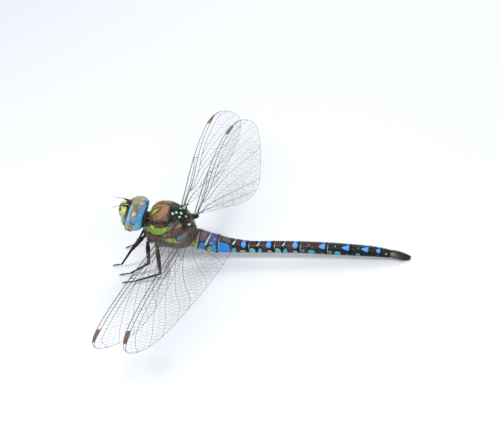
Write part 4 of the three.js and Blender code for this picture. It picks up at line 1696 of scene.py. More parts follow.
@dataclass
class Leg:
    """One leg: trochanter, thigh, shin, three-part foot and two claws, with its spines.

    The limbs' rows are shares of the way along, a lift, a half width and a half height.
    """

    name: str
    hip: Triple
    knee: Triple
    ankle: Triple
    toe: Triple
    right_shift: float
    ring: tuple[Four, ...] = ((-0.05, 0.0, 0.32, 0.32), (0.06, 0.0, 0.36, 0.34), (0.13, 0.0, 0.24, 0.24))
    thigh: tuple[Four, ...] = (
        (0.09, 0.0, 0.3, 0.3), (0.3, 0.12, 0.46, 0.49), (0.65, 0.12, 0.4, 0.44), (0.92, 0.0, 0.3, 0.33),
        (1.02, 0.0, 0.31, 0.35),
    )
    shin: tuple[Four, ...] = (
        (-0.02, 0.03, 0.18, 0.23), (0.1, 0.0, 0.23, 0.26), (0.55, 0.0, 0.19, 0.2), (0.94, 0.0, 0.18, 0.19),
        (1.02, 0.0, 0.19, 0.2),
    )
    foot: tuple[float, ...] = (0.0, 0.16, 0.42, 0.88)

    def joints(self, side: Side) -> Array:
        """Where the leg's joints lie.

        Args:
            side: The side of the body.

        Returns:
            The hip, knee, ankle and toe.
        """
        places = np.array([self.hip, self.knee, self.ankle, self.toe]) * (1, side.value, 1)
        if side is Side.RIGHT:
            places[:, 0] += self.right_shift * np.array([0.0, 0.5, 1.0, 1.0])
        places[3, 2] = 0.15
        return places

    def surface(self, side: Side) -> Surface:
        """Joins the leg's limbs, foot and claws.

        Args:
            side: The side of the body.

        Returns:
            The leg's shell.
        """
        hip, knee, ankle, toe = self.joints(side)
        parts = []
        for start, end, rows, count, sides in (
            (hip, knee, self.ring, 20, 20),
            (hip, knee, self.thigh, 46, 24),
            (knee, ankle, self.shin, 46, 18),
        ):
            knots = [(*(start + at * (end - start) + (0, 0, lift)), w, h) for at, lift, w, h in rows]
            parts.append(swept(knots, count, sides))
        for low, high in pairwise(self.foot):
            a, b = ankle + (toe - ankle) * low, ankle + (toe - ankle) * high
            a[2], b[2] = max(a[2], 0.15), max(b[2], 0.15)
            parts.append(swept([(*a, 0.11, 0.11), (*((a + b) / 2), 0.12, 0.12), (*b, 0.145, 0.14)], 20, 14))
        tip, way = ankle + (toe - ankle) * 0.86, unit(toe - ankle)
        for sign in (-1, 1):
            across = np.cross([0, 0, 1.0], way) * sign
            bend, hook = tip + way * 0.25 + across * 0.1, toe + way * 0.02 + across * 0.2
            middle = (bend + hook) / 2 + across * 0.05
            claw = [(*tip[:2], 0.15, 0.07, 0.07), (*bend[:2], 0.19, 0.06, 0.06)]
            claw += [(*middle[:2], 0.16, 0.045, 0.045), (*hook[:2], 0.03, 0.02, 0.02)]
            parts.append(swept(claw, 20, 8))
        for number, part in enumerate(parts):
            part.values["along"] = part.values["along"] * 0.5 if number < 2 else 1 + 0 * part.values["along"]
        surface = Surface.joined(parts)
        surface.points[:, 2] = np.maximum(surface.points[:, 2], 0.0)
        return surface

    def spines(self, side: Side) -> list[Array]:
        """Where the leg's spines stand.

        Args:
            side: The side of the body.

        Returns:
            For each its root, the way that it points and its length, as seven numbers.
        """
        hip, knee, ankle, toe = self.joints(side)
        rows = []
        for start, end, count, radius, length, lean in (
            (hip, knee, 9, 0.36, 0.28, 0.5),
            (knee, ankle, 10, 0.17, 0.76, 0.75),
            (ankle, toe, 5, 0.09, 0.22, 0.9),
        ):
            way = unit(end - start)
            across = unit(np.cross([0, 0, 1.0], way))
            for sign in (-1, 1):
                side_way = across * sign * 0.85 - np.cross(way, across) * 0.5
                for number in range(count):
                    share = 0.16 + 0.8 * (number + 0.3 * (sign > 0)) / count
                    root = start + (end - start) * share + side_way * radius * 0.8
                    rows.append(np.concatenate([root, side_way + way * lean, [length * (1 - 0.35 * share)]]))
        return rows


@dataclass
class Legs:
    """The six legs."""

    left: tuple[Leg, ...] = (
        Leg("front", (-24.6, 1.05, 6.3), (-27.1, 3.8, 4.6), (-30.2, 3.6, 0.85), (-32.5, 3.1, 0.22), 0.7),
        Leg("middle", (-24.0, 1.75, 5.2), (-23.0, 5.7, 2.7), (-27.2, 6.5, 0.75), (-29.9, 6.3, 0.22), -0.5),
        Leg("hind", (-22.0, 2.1, 4.5), (-20.0, 7.9, 1.75), (-25.2, 9.0, 0.7), (-28.4, 8.9, 0.22), 0.4),
    )
    finish: DarkFinish = DarkFinish(
        "leg shell", (9, 11, 20), (44, 28, 40),
        Shine(0.4, specular=0.12, coat=0.05, coat_roughness=0.25, relief=0.35),
    )
    spine_radius: float = 0.035
    spine_bend: float = 0.1

    def build(self, shop: Shop) -> None:
        """Builds each leg and, as one piece for each side, their spines.

        Args:
            shop: The shared effects and the body's place.
        """
        material, tree = self.finish.material(shop.effects), bristle_tree()
        for side in Side:
            for leg in self.left:
                name = f"leg_{leg.name}_{side.word}"
                nodes = [f"{name}_{part}" for part in ("femur", "tibia", "tarsus")]
                shop.add(leg.surface(side), name, material, "dark_shell", *nodes)
            rows = np.array([row for leg in self.left for row in leg.spines(side)])
            roots, ways, sizes = rows[:, :3], rows[:, 3:6], rows[:, 6]
            roots[:, 2] = np.maximum(roots[:, 2], 0.08)
            ways[:, 2] = np.maximum(ways[:, 2], -(roots[:, 2] - 0.03) / sizes)
            start = wires(roots, [], way=ways, size=sizes, place=roots)
            spines = tree.run(start, material, Thickness=self.spine_radius, Bend=self.spine_bend)
            shop.add(spines, f"leg_spines_{side.word}", material, "dark_shell")


@dataclass(frozen=True)
class Vein:
    """A long vein: its place behind the front edge at shares of the span, in millimetres.

    Before its first share it runs in its parent, and after its end it lies in the wing's edge.
    """

    name: str
    parent: str
    start: float
    end: float
    knots: tuple[tuple[float, float], ...]
    height: float = 0.0
    girth: tuple[float, float] = (0.046, 0.025)


@dataclass(frozen=True)
class VeinFinish:
    """Dark brown veins, paler along the front edge; also the brown cell near the tip."""

    name: str = "wing veins"
    low: Colour = (16, 13, 12)
    high: Colour = (44, 32, 26)
    pale: Colour = (126, 88, 48)

    def material(self, effects: Effects) -> Material:
        """Builds the finish, which reads "place" in the wing and "tone", 1 where it is pale.

        Args:
            effects: The shared effects.

        Returns:
            The material.
        """
        g = Paint(self.name, effects)
        colour = g.blend(g.attribute("tone"), g.patches(g.place, 1.8, self.low, self.high), self.pale)
        return g.shell(Shine(roughness=0.4, coat=0.2, relief=0.25), colour)


@dataclass(frozen=True)
class MembraneFinish:
    """Clear, shiny membrane that shows white where it catches the light."""

    clear: float = 0.002
    glancing: float = 0.04

    def material(self, effects: Effects) -> Material:
        """Builds the finish, which reads "place" in the wing: span and depth in millimetres.

        Args:
            effects: The shared effects.

        Returns:
            The material.
        """
        g = Paint("wing membrane", effects)
        out, deep, _ = g.axes(g.place)
        cloudy = g.noise(g.place, 0.7, 3.0, 0.55)
        base = g.zone((out, 5.5, 1.0), (deep, 9.0, 1.0))
        facing = g.node("ShaderNodeLayerWeight", {"Blend": 0.32}, "Facing")
        alpha = g.fit(g.math("POWER", facing, 1.6), self.glancing, self.clear)
        alpha = g.fit(g.smooth(cloudy, 0.35, 0.75), 0.005, alpha)
        values = {"Base Color": g.blend(base, (216, 218, 214), (182, 150, 96))}
        values |= {"Alpha": g.fit(base, 0.015, alpha), "Roughness": g.fit(cloudy, 0.16, 0.06)}
        values |= {"Normal": g.bump(g.noise(g.place, 1.6), 0.35, 0.00012)}
        values |= {"Specular IOR Level": 0.9, "Thin Film Thickness": 420.0, "Thin Film IOR": 1.5}
        return g.finished(values)


@dataclass
class Wing:
    """One wing: the outline, the long veins, and the cells that are worked out between them.

    A row of the outline is a share of the span, how far the front edge lies behind the wing's
    axis there, and the wing's depth. The plates are the membrane and the cell near the tip, each
    as its points along and across and its thickness. A row of the roots is how deep a vein starts
    in the wing, how far back it meets the hinge, and its radius.
    """

    name: str
    root: Triple
    span: float
    sweep: float
    outline: tuple[Triple, ...]
    veins: tuple[Vein, ...]
    nodus: float
    stigma: tuple[float, float]
    hinge: Triple
    cell: float
    seed: int
    side: Side = Side.LEFT
    grid: int = 601
    most_rows: int = 14
    plates: tuple[tuple[int, int, float], ...] = ((96, 30, 0.03), (24, 8, 0.09))
    roots: tuple[Triple, ...] = ((0.0, -0.45, 0.17), (0.45, -0.2, 0.11), (0.8, 0.1, 0.15), (1.35, 0.45, 0.11))
    rise: float = 1.0
    slope: float = 0.05
    pitch: tuple[float, float] = (1.12, 0.15)
    cell_girth: tuple[float, float] = (0.0195, 0.0025)
    uneven: float = 0.16
    zigzag: tuple[float, float] = (0.17, 0.07)
    lean: float = 0.1

    def __post_init__(self) -> None:
        """Works out the lines of all the veins on a fine grid of shares."""
        self.shares = np.linspace(0, 1, self.grid)
        rows = np.asarray(self.outline)
        smooth = catmull_at(rows, np.interp(self.shares, rows[:, 0], np.arange(len(rows))))
        smooth = smooth[np.argsort(smooth[:, 0])]
        self.lead, self.chord = (np.interp(self.shares, smooth[:, 0], smooth[:, i]) for i in (1, 2))
        self.lines = {"C": (0 * self.shares, 0.08 * ease(-self.shares, -1, -0.6))}
        by_name = {vein.name: vein for vein in self.veins}
        for vein in self.veins:
            self._trace(vein, by_name)
        tracks = [self.lines[name] for name in ("C", *by_name)] + [(self.chord, 0 * self.shares)]
        depths, self.heights = np.array(tracks).swapaxes(0, 1)
        self.depths = np.minimum(np.maximum.accumulate(depths, axis=0), self.chord)

    def _trace(self, vein: Vein, by_name: dict[str, Vein]) -> None:
        """Works out one vein's line and height, and its parent's first.

        Args:
            vein: The vein.
            by_name: All the veins.
        """
        if vein.name in self.lines:
            return
        edge = self.chord if vein.name not in ("Sc", "RA") else 0 * self.chord
        knots, lift = list(vein.knots), vein.height * ease(-self.shares, -1.0, -0.6)
        knots.append((vein.end, float(np.interp(vein.end, self.shares, edge))))
        if vein.parent:
            self._trace(by_name[vein.parent], by_name)
            stem, stem_lift = self.lines[vein.parent]
            knots.insert(0, (vein.start, float(np.interp(vein.start, self.shares, stem))))
            grown = ease(self.shares, vein.start, vein.start + 0.07)
            lift = lift * grown + stem_lift * (1 - grown)
        line = np.where(self.shares > vein.end, edge, np.interp(self.shares, *np.array(knots).T))
        if vein.parent:
            line = np.where(self.shares < vein.start, stem, line)
        kernel = hump(np.arange(-18, 19), 0, 9.0)
        line = np.convolve(np.pad(line, 18, mode="edge"), kernel / kernel.sum(), "valid")
        self.lines[vein.name] = (line, lift * (1 - ease(self.shares, vein.end - 0.09, vein.end)))

    def at(self, share: Array, deep: Array) -> Array:
        """Points of the wing in body millimetres.

        Args:
            share: Shares of the span.
            deep: Millimetres behind the front edge.

        Returns:
            The points.
        """
        share, deep = np.broadcast_arrays(np.asarray(share, float), np.asarray(deep, float))
        flat, depth = share.ravel(), deep.ravel()
        lead, chord = (np.interp(flat, self.shares, track) for track in (self.lead, self.chord))
        column = np.clip(flat, 0, 1) * (len(self.shares) - 1)
        low = np.minimum(column.astype(int), len(self.shares) - 2)
        depths, heights = (
            track[:, low] * (1 - column + low) + track[:, low + 1] * (column - low)
            for track in (self.depths, self.heights)
        )
        lift = np.zeros(len(flat))
        for (near, far), (first, last) in zip(pairwise(depths), pairwise(heights)):
            inside = (depth >= near) & (depth <= far + 1e-9) & (far - near > 1e-6)
            step = np.clip((depth - near) / np.maximum(far - near, 1e-6), 0, 1)
            lift = np.where(inside, first * (1 - step) + last * step, lift)
        out = flat * self.span
        x = self.root[0] + lead + out * math.tan(math.radians(self.sweep)) + depth
        z = self.root[2] + out * math.tan(math.radians(self.rise)) + (depth - chord / 2) * self.slope + lift
        return np.stack([x, self.side.value * (self.root[1] + out), z], -1).reshape(*share.shape, 3)

    def chain(self, shares: Array, deep: Array, girth: object, tone: float = 0.0) -> Array:
        """A chain of rows on the wing.

        Args:
            shares: Shares of the span.
            deep: Millimetres behind the front edge.
            girth: The radius.
            tone: How pale it is.

        Returns:
            Rows of a point, its place in the wing, a radius and a tone.
        """
        shares, deep = np.asarray(shares, float), np.asarray(deep, float)
        rest = (shares * self.span, deep, 0.0, girth, tone)
        rest = [np.broadcast_to(value, shares.shape) for value in rest]
        return np.concatenate([self.at(shares, deep), np.stack(rest, -1)], -1)

    def long_veins(self) -> list[Array]:
        """The edges, the long veins, the nodus and the roots in the hinge.

        Returns:
            Their chains.
        """
        few, step = self.shares[::3], np.linspace(0, 1, 14)
        edge_girth = np.interp(few, [0, self.nodus, 0.9, 1], [0.115, 0.085, 0.06, 0.04])
        reach = np.interp(self.nodus, self.shares, self.depths[2]) + 0.1
        chains = [
            self.chain(few, 0 * few, edge_girth, 0.3),
            self.chain(few, self.chord[::3], 0.03),
            self.chain(0 * step, self.chord[0] * step, 0.07),
            self.chain(0 * step + 1, self.chord[-1] * step, 0.04),
            self.chain([self.nodus - 0.004, self.nodus + 0.002], [0, reach], 0.075),
        ]
        for depths, vein in zip(self.depths[1:], self.veins):
            keep = (self.shares >= vein.start - 0.004) & (self.shares <= min(vein.end + 0.01, 1.0))
            picked, deep = self.shares[keep][::3], depths[keep][::3]
            share = np.clip((picked - vein.start) / (vein.end - vein.start), 0, 1)
            girth = vein.girth[0] + (vein.girth[1] - vein.girth[0]) * share**0.7
            chains.append(self.chain(picked, deep, girth, 0.2 if vein.name == "RA" else 0.0))
        swell = np.array([0.7, 0.9, 1.0, 1.15])
        for deep, back, girth in self.roots:
            rows = self.chain([0.012, 0.0, 0.0, 0.0], [deep] * 4, swell * girth, 0.2)
            rows[3, :3] = np.array(self.hinge) * (1, self.side.value, 1) + (back, 0, 0)
            rows[2, :3] = (rows[1, :3] * 2 + rows[3, :3]) / 3 + (0, 0, 0.05)
            chains.append(rows)
        return chains

    def cells(self) -> list[Array]:
        """The cross-veins, and the zigzag veins between many rows of cells.

        Returns:
            Their chains.
        """
        chains: list[Array] = []
        dice = np.random.default_rng(self.seed)
        for number, gap in enumerate(np.diff(self.depths, axis=0)):
            rows = np.clip(np.round(gap / self.cell), 1, self.most_rows).astype(int)
            in_stigma = (self.shares > self.stigma[0] - 0.004) & (self.shares < self.stigma[1] + 0.004)
            rows[(gap < 0.2) | (in_stigma & (gap < 1.6) & (number == 0))] = 0
            cuts = [0, *(np.flatnonzero(np.diff(rows)) + 1), len(rows)]
            merged: list[list[int]] = []
            for start, end in pairwise(cuts):
                short = (end - start) / len(rows) * self.span < 1.1
                if merged and short and rows[start] and merged[-1][2]:
                    merged[-1][1] = end
                else:
                    merged.append([start, end, rows[start]])
            for start, end, count in merged:
                if count and end - start > 3:
                    chains += self._run(number, start, min(end, len(rows) - 1), count, dice)
        return chains

    def _run(self, number: int, start: int, end: int, rows: int, dice: np.random.Generator) -> list[Array]:
        """The cells of one stretch that has a fixed number of rows.

        Args:
            number: The vein ahead of the cells.
            start: Where the stretch starts, on the grid.
            end: Where it ends.
            rows: The rows of cells.
            dice: The source of unevenness.

        Returns:
            The chains.
        """
        low, high = self.shares[start], self.shares[end]
        pitch = (self.pitch[0] - self.pitch[1] * (low + high)) * (1.0 if rows == 1 else 0.98)
        halves = 2 * max(1, int(round((high - low) * self.span / pitch)))
        shares = np.linspace(low, high, halves + 1)
        girth = self.cell_girth[0] - self.cell_girth[1] * (low + high)
        shares[1:-1] += dice.uniform(-self.uneven, self.uneven, halves - 1) * (high - low) / halves
        ahead, behind = (np.interp(shares, self.shares, self.depths[i]) for i in (number, number + 1))
        chains, lines, (zig, zag) = [], [], self.zigzag
        for line in range(rows + 1):
            sway = np.zeros(halves + 1)
            if 0 < line < rows:
                sway[1:-1] = np.where((np.arange(1, halves) + line) % 2 == 1, -zig, zig)
                sway[1:-1] += dice.uniform(-zag, zag, halves - 1)
            lines.append(ahead + (behind - ahead) * (line + sway) / rows)
            if 0 < line < rows:
                chains.append(self.chain(shares, lines[line], girth))
        for row in range(rows):
            for half in range(halves + 1):
                inner = half not in (0, halves)
                if inner and half % 2 != row % 2:
                    continue
                lean = dice.uniform(-self.lean, self.lean) * (high - low) / halves * (rows == 1 and inner)
                pair = (shares[half], min(max(shares[half] + lean, low), high))
                chains.append(self.chain(pair, (lines[row][half], lines[row + 1][half]), girth))
        return chains

    def slab(self, whole: bool) -> Surface:
        """A thin closed plate that lies in the wing.

        Args:
            whole: Whether it is the whole membrane, or the cell near the tip.

        Returns:
            The plate.
        """
        count, steps, thick = self.plates[0 if whole else 1]
        along = 1 - (1 - np.linspace(0, 1, count)) ** 1.15 if whole else np.linspace(*self.stigma, count)
        depth = np.interp(along, self.shares, self.chord if whole else self.depths[2])
        deep = np.linspace(0, 1, steps)[None] * depth[:, None]
        points = self.at(np.repeat(along[:, None], steps, 1), deep)
        flat = np.stack([np.repeat(along[:, None] * self.span, steps, 1), deep, 0 * deep], -1)
        half = np.array([0, 0, thick / 2])
        rings = np.concatenate([points + half, points[:, ::-1] - half], 1)
        places = np.concatenate([flat, flat[:, ::-1]], 1)
        if self.side is Side.LEFT:
            rings, places = rings[:, ::-1], places[:, ::-1]
        return lofted(rings, points[[0, -1], steps // 2], place=places)


def chained(chains: Sequence[Array]) -> Mesh:
    """The mesh of edges that the vein tree starts from.

    Args:
        chains: Chains of rows: a point, its place in the wing, a radius and a tone.

    Returns:
        The mesh, with the places, radii and tones as its values.
    """
    starts, rows = np.cumsum([0] + [len(chain) for chain in chains]), np.concatenate(chains)
    edges = [(i, i + 1) for a, b in pairwise(starts) for i in range(a, b - 1)]
    return wires(rows[:, :3], edges, place=rows[:, 3:6], girth=rows[:, 6], tone=rows[:, 7])


FORE_VEINS = (
    Vein("Sc", "", 0.0, 0.48, ((0, 0.35), (0.1, 0.55), (0.25, 0.7), (0.4, 0.6)), -0.1, (0.085, 0.06)),
    Vein("RA", "", 0.0, 1.0, ((0, 0.6), (0.1, 0.95), (0.25, 1.25), (0.4, 1.15), (0.48, 1.0), (0.6, 0.9),
         (0.8, 0.85), (0.9, 0.8), (0.97, 0.35)), 0.12, (0.11, 0.05)),
    Vein("RP1", "RA", 0.12, 0.99, ((0.2, 1.6), (0.3, 1.9), (0.4, 1.9), (0.48, 1.7), (0.6, 1.7), (0.7, 1.8),
         (0.88, 1.9), (0.95, 1.6)), -0.06, (0.07, 0.035)),
    Vein("RP2", "RP1", 0.5, 0.96, ((0.6, 2.3), (0.7, 3.0), (0.8, 3.9), (0.88, 4.6)), -0.05),
    Vein("IR2", "RP1", 0.4, 0.9, ((0.5, 2.7), (0.6, 3.6), (0.7, 4.8), (0.8, 6.0), (0.87, 7.4)), 0.05),
    Vein("RP34", "RP1", 0.32, 0.79, ((0.42, 2.9), (0.5, 3.9), (0.6, 5.2), (0.7, 6.9)), -0.05),
    Vein("MA", "RA", 0.13, 0.7, ((0.16, 2.0), (0.25, 2.7), (0.35, 3.4), (0.45, 4.6), (0.55, 5.9),
         (0.63, 7.4)), 0.06, (0.065, 0.035)),
    Vein("MP", "CuA", 0.18, 0.5, ((0.22, 3.2), (0.3, 4.6), (0.38, 6.0), (0.45, 7.6)), -0.05),
    Vein("CuA", "", 0.0, 0.33, ((0, 1.1), (0.1, 1.9), (0.18, 3.2), (0.22, 4.6), (0.28, 6.2)), 0.05,
         (0.09, 0.04)),
)
HIND_VEINS = (
    Vein("Sc", "", 0.0, 0.42, ((0, 0.4), (0.1, 0.6), (0.25, 0.7)), -0.1, (0.085, 0.06)),
    Vein("RA", "", 0.0, 1.0, ((0, 0.7), (0.1, 1.0), (0.25, 1.2), (0.42, 1.0), (0.6, 0.95), (0.8, 0.9),
         (0.9, 0.85)), 0.12, (0.11, 0.05)),
    Vein("RP1", "RA", 0.1, 0.99, ((0.2, 1.7), (0.3, 1.9), (0.42, 1.8), (0.6, 1.8), (0.8, 1.9)), -0.06,
         (0.07, 0.035)),
    Vein("RP2", "RP1", 0.46, 0.95, ((0.55, 2.4), (0.65, 3.3), (0.76, 4.3), (0.86, 5.2)), -0.05),
    Vein("IR2", "RP1", 0.34, 0.88, ((0.42, 2.8), (0.55, 4.0), (0.68, 5.6), (0.78, 7.0)), 0.05),
    Vein("RP34", "RP1", 0.26, 0.77, ((0.33, 2.7), (0.42, 4.0), (0.55, 6.0), (0.66, 8.2)), -0.05),
    Vein("MA", "RA", 0.1, 0.68, ((0.14, 2.2), (0.25, 3.2), (0.38, 5.0), (0.5, 7.2), (0.6, 9.6)), 0.06,
         (0.065, 0.035)),
    Vein("MP", "CuA", 0.11, 0.5, ((0.16, 3.6), (0.25, 5.4), (0.34, 7.6), (0.43, 10.2)), -0.05),
    Vein("CuA", "", 0.0, 0.32, ((0, 1.4), (0.08, 2.4), (0.13, 4.4), (0.18, 6.6), (0.24, 9.2)), 0.05,
         (0.09, 0.04)),
    Vein("A1", "CuA", 0.015, 0.2, ((0.05, 3.4), (0.09, 6.0), (0.14, 9.0)), 0.04, (0.07, 0.035)),
)
FORE_EDGE = (
    (0, 0, 1.5), (0.06, -0.1, 2.9), (0.14, -0.2, 5.6), (0.3, -0.4, 7.6), (0.5, -0.5, 8.9), (0.7, -0.3, 9.2),
    (0.85, 0.2, 8.4), (0.94, 1.0, 6.3), (0.985, 2.1, 3.4), (1, 3.2, 0.8),
)
HIND_EDGE = (
    (0, 0, 1.9), (0.035, -0.1, 5.4), (0.09, -0.25, 10.2), (0.2, -0.45, 12.3), (0.35, -0.6, 12.3),
    (0.55, -0.6, 11.2), (0.75, -0.25, 9.3), (0.88, 0.4, 7.3), (0.96, 1.5, 4.6), (0.99, 2.5, 2.4),
    (1, 3.3, 0.8),
)


@dataclass
class Wings:
    """The four wings, as the fore pair and the hind pair, and their finishes."""

    pairs: tuple[Wing, ...] = (
        Wing("forewing", (-16.75, 3.15, 11.0), 38.5, -7.0, FORE_EDGE, FORE_VEINS, nodus=0.48,
             stigma=(0.865, 0.955), hinge=(-16.2, 2.3, 11.1), cell=0.95, seed=5),
        Wing("hindwing", (-14.25, 3.0, 9.15), 37.5, -3.5, HIND_EDGE, HIND_VEINS, nodus=0.42,
             stigma=(0.84, 0.935), hinge=(-13.8, 2.1, 9.25), cell=1.0, seed=9),
    )
    finishes: tuple[MembraneFinish, VeinFinish, VeinFinish] = (
        MembraneFinish(), VeinFinish(), VeinFinish("wing cell near the tip", (84, 50, 32), (122, 78, 48)),
    )
    long_sides: int = 7
    cell_sides: int = 5

    def build(self, shop: Shop) -> None:
        """Builds the membrane, the long veins, the cell veins and the brown cell of each wing.

        Args:
            shop: The shared effects and the body's place.
        """
        membrane, veins, brown = (finish.material(shop.effects) for finish in self.finishes)
        tree = vein_tree()
        for pair in self.pairs:
            for side in Side:
                wing, name = replace(pair, side=side), f"{pair.name}_{side.word}"
                for part, shape, material in (
                    ("membrane", wing.slab(True), membrane),
                    ("long_veins", tree.run(chained(wing.long_veins()), veins, Sides=self.long_sides), veins),
                    ("cell_veins", tree.run(chained(wing.cells()), veins, Sides=self.cell_sides), veins),
                    ("stigma", wing.slab(False), brown),
                ):
                    shop.add(shape, f"{name}_{part}", material, "wing", name)


@dataclass(frozen=True)
class HairFinish:
    """Fine hair that takes the skin's colour below it at its root, painted shadows and highlights too, and is
    paler at its tip.
    """

    name: str
    root: Colour
    tip: Colour
    from_skin: float = 0.0
    markings: ThoraxFinish = ThoraxFinish()

    def material(self, effects: Effects) -> Material:
        """Builds the finish, which reads "along", 1 at the tip, and "place", the root's place.

        Args:
            effects: The shared effects.

        Returns:
            The material.
        """
        g = Paint(self.name, effects)
        low = g.blend(self.from_skin, self.root, self.markings.colour(g)) if self.from_skin > 0 else self.root
        tone = g.smooth(g.noise(g.place, 2.2), 0.3, 0.7)
        high = g.blend(tone, dimmed(self.tip, 0.82), self.tip)
        values = {"Base Color": g.blend(g.smooth(g.attribute("along"), 0.0, 0.75), low, high)}
        values |= {"Roughness": g.fit(tone, 0.15, 0.5), "Specular IOR Level": 0.3, "Sheen Weight": 0.2}
        return g.finished(values)


def furred(skin: Surface, growth: Array, length: Array, flow: Parts, chart: Parts) -> Surface:
    """Gives a skin the values that the fur tree reads.

    Args:
        skin: The bare skin.
        growth: The share of the full number of hairs.
        length: The hairs' length.
        flow: The way that they lie. It is laid flat on the skin.
        chart: A turn as two sides, and a height from 0 to 1, for the coat's map.

    Returns:
        The skin with the values.
    """
    zero, normals = 0 * growth, skin.normals()
    flow, chart = (np.stack([part + zero for part in parts], -1) for parts in (flow, chart))
    flow -= normals * (flow * normals).sum(1, keepdims=True)
    return skin.with_values(growth=growth, length=length, flow=flow, chart=chart)


@dataclass
class Coats:
    """The fine hair of the thorax, the first rings of the abdomen, and the head."""

    body_hair: HairFinish = HairFinish("thorax hair", (86, 74, 62), (176, 164, 146), 0.7)
    head_hair: HairFinish = HairFinish("head hair", (60, 50, 40), (150, 138, 112))

    def thorax(self, skin: Surface) -> Surface:
        """Where hair grows on the trunk.

        Args:
            skin: The trunk's skin.

        Returns:
            The skin with the values that its hair reads.
        """
        x, y, z = skin.points.T
        front, under = ease(-x, 21.3, 22.6), ease(-z, -6.6, -4.9)
        top = ease(z, 10.6, 12.2) * ease(-x, 17.2, 18.0)
        hinge = ease(z, 10.0, 11.0) * ease(np.abs(y), 1.6, 2.4) * ease(x, -18.2, -16.6) * 0.7
        rear = ease(x, -15.8, -14.8) * ease(z, 5.2, 6.5) * 0.8
        growth = np.clip(0.02 + 0.6 * front + 0.42 * top + 0.7 * under + 0.5 * hinge + 0.3 * rear, 0, 1)
        growth *= 1 - 0.93 * ease(x, -18.0, -17.4) * ease(z, 10.4, 11.0)
        growth *= 1 - 0.85 * ease(-x, 22.9, 23.3) * ease(z, 4.0, 9.0)
        growth *= ease(np.sqrt((x + 22.7) ** 2 + (np.abs(y) - 1.2) ** 2 + ((z - 10.4) * 0.7) ** 2), 0.7, 1.3)
        length = 0.24 + 0.34 * np.clip(front + under * 0.8 + hinge, 0, 1) + 0.34 * top + 0.25 * rear
        flow = (0.55 - front, skin.normals()[:, 1] * 0.2, -0.5)
        return furred(skin, growth, length, flow, (y, z - 8.4 + 0.35 * (x + 19), 0.03 + 0.94 * (x + 25) / 12))

    def abdomen(self, skin: Surface) -> Surface:
        """Where hair grows on the abdomen.

        Args:
            skin: The abdomen's skin.

        Returns:
            The skin with the values that its hair reads.
        """
        along, angle = skin.values["along"], np.radians(skin.values["around"])
        growth = 1 - ease(along, 1.1, 2.7) * 0.94 - ease(along, 2.9, 4.2) * 0.05
        length = 0.55 - 0.4 * ease(along, 1.2, 2.9)
        chart = (np.sin(angle) * np.sign(skin.points[:, 1]), np.cos(angle), 0.03 + 0.94 * (along - 1) / 10)
        return furred(skin, growth, length, (1.0, 0.0, -0.2), chart)

    def head(self, shell: Surface) -> Surface:
        """Where hair grows on the head.

        Args:
            shell: The head's shell.

        Returns:
            The shell with the values that its hair reads.
        """
        x, y, z = shell.points.T
        brow, lip = ease(-x, 4.6, 5.4) * ease(z, 0.5, 1.2), ease(-x, 4.6, 5.2) * ease(-z, 0.8, 1.4)
        nape, chin, crown = ease(x, -1.0, -0.5), ease(-z, 1.6, 2.4), ease(z, 3.3, 3.6) * ease(-x, 2.9, 3.3)
        growth = np.clip(0.4 * brow + 0.5 * lip + 0.4 * nape + 0.7 * chin + crown + 0.06, 0, 1)
        length = 0.16 + 0.1 * lip + 0.2 * nape + 0.22 * chin + 0.22 * crown
        flow = (0.15 + 0.6 * nape, 0.0, -0.9 + 1.7 * crown - 0.2 * nape)
        level = 0.5 + np.arctan2(z, np.hypot(x + 2.4, y)) / math.pi * 0.94
        return furred(shell, growth, length, flow, (y, -(x + 2.4), level))

    def build(self, shop: Shop, trunk: Surface, tail: Surface, head: Head, shell: Surface) -> None:
        """Grows the three coats.

        Args:
            shop: The shared effects and the body's place.
            trunk: The thorax's skin.
            tail: The abdomen's skin.
            head: The head, which knows where its frame lies.
            shell: The head's shell, in the head's frame.
        """
        tree = fur_tree()
        body, fine = self.body_hair.material(shop.effects), self.head_hair.material(shop.effects)
        for name, skin, hair, slot, sizes in (
            ("thorax", self.thorax(trunk), body, "thorax", (95.0, 0.011, 0.55, 0.45, 3)),
            ("abdomen", self.abdomen(tail), body, "abdomen", (60.0, 0.011, 0.5, 0.4, 4)),
            ("head", self.head(shell), fine, "face", (70.0, 0.01, 1.0, 0.35, 5)),
        ):
            values = dict(zip(("Density", "Thickness", "Stand", "Bend", "Seed"), sizes))
            coat = tree.run(skin.mesh("skin"), hair, **values)
            if name == "head":
                co = np.empty(len(coat.vertices) * 3)
                coat.vertices.foreach_get("co", co)
                coat.vertices.foreach_set("co", head.to_body(co.reshape(-1, 3)).ravel())
            shop.add(coat, f"{name}_coat", hair, slot)


def seen_rays(g: Graph) -> Socket:
    """1 on the rays by which the background is seen, straight or in a gloss or through glass."""
    path = g.node("ShaderNodeLightPath", {}).node
    return g.most(*(path.outputs[f"Is {kind} Ray"] for kind in ("Camera", "Glossy", "Transmission")))


@dataclass(frozen=True)
class StudioFinish:
    """A smooth pale sheet under and behind the insect, plain white beyond the fade's metres."""

    colour: Colour = (236, 238, 242)
    grain: float = 900.0
    fade: tuple[float, float] = (0.15, 0.5)

    def material(self, effects: Effects) -> Material:
        """Builds the finish: paper with a faint grain that ends in plain white far off.

        Args:
            effects: The shared effects.

        Returns:
            The material.
        """
        g = Paint("pale paper", effects)
        place = g.node("ShaderNodeTexCoord", {}, "Object")
        colour = g.blend(g.noise(place, self.grain, 2.0), tuple(c - 3 for c in self.colour), self.colour)
        far = g.smooth(g.vector("LENGTH", place, out="Value"), *self.fade)
        glow = g.node("ShaderNodeEmission", {"Color": paint((255, 255, 255)), "Strength": 1.0})
        white = g.times(far, seen_rays(g))
        mixed = g.node("ShaderNodeMixShader", {0: white, 1: g.shader.outputs[0], 2: glow})
        g.wire(g.tree.nodes["Material Output"], {"Surface": mixed})
        return g.finished({"Base Color": colour, "Roughness": 0.9, "Specular IOR Level": 0.1})


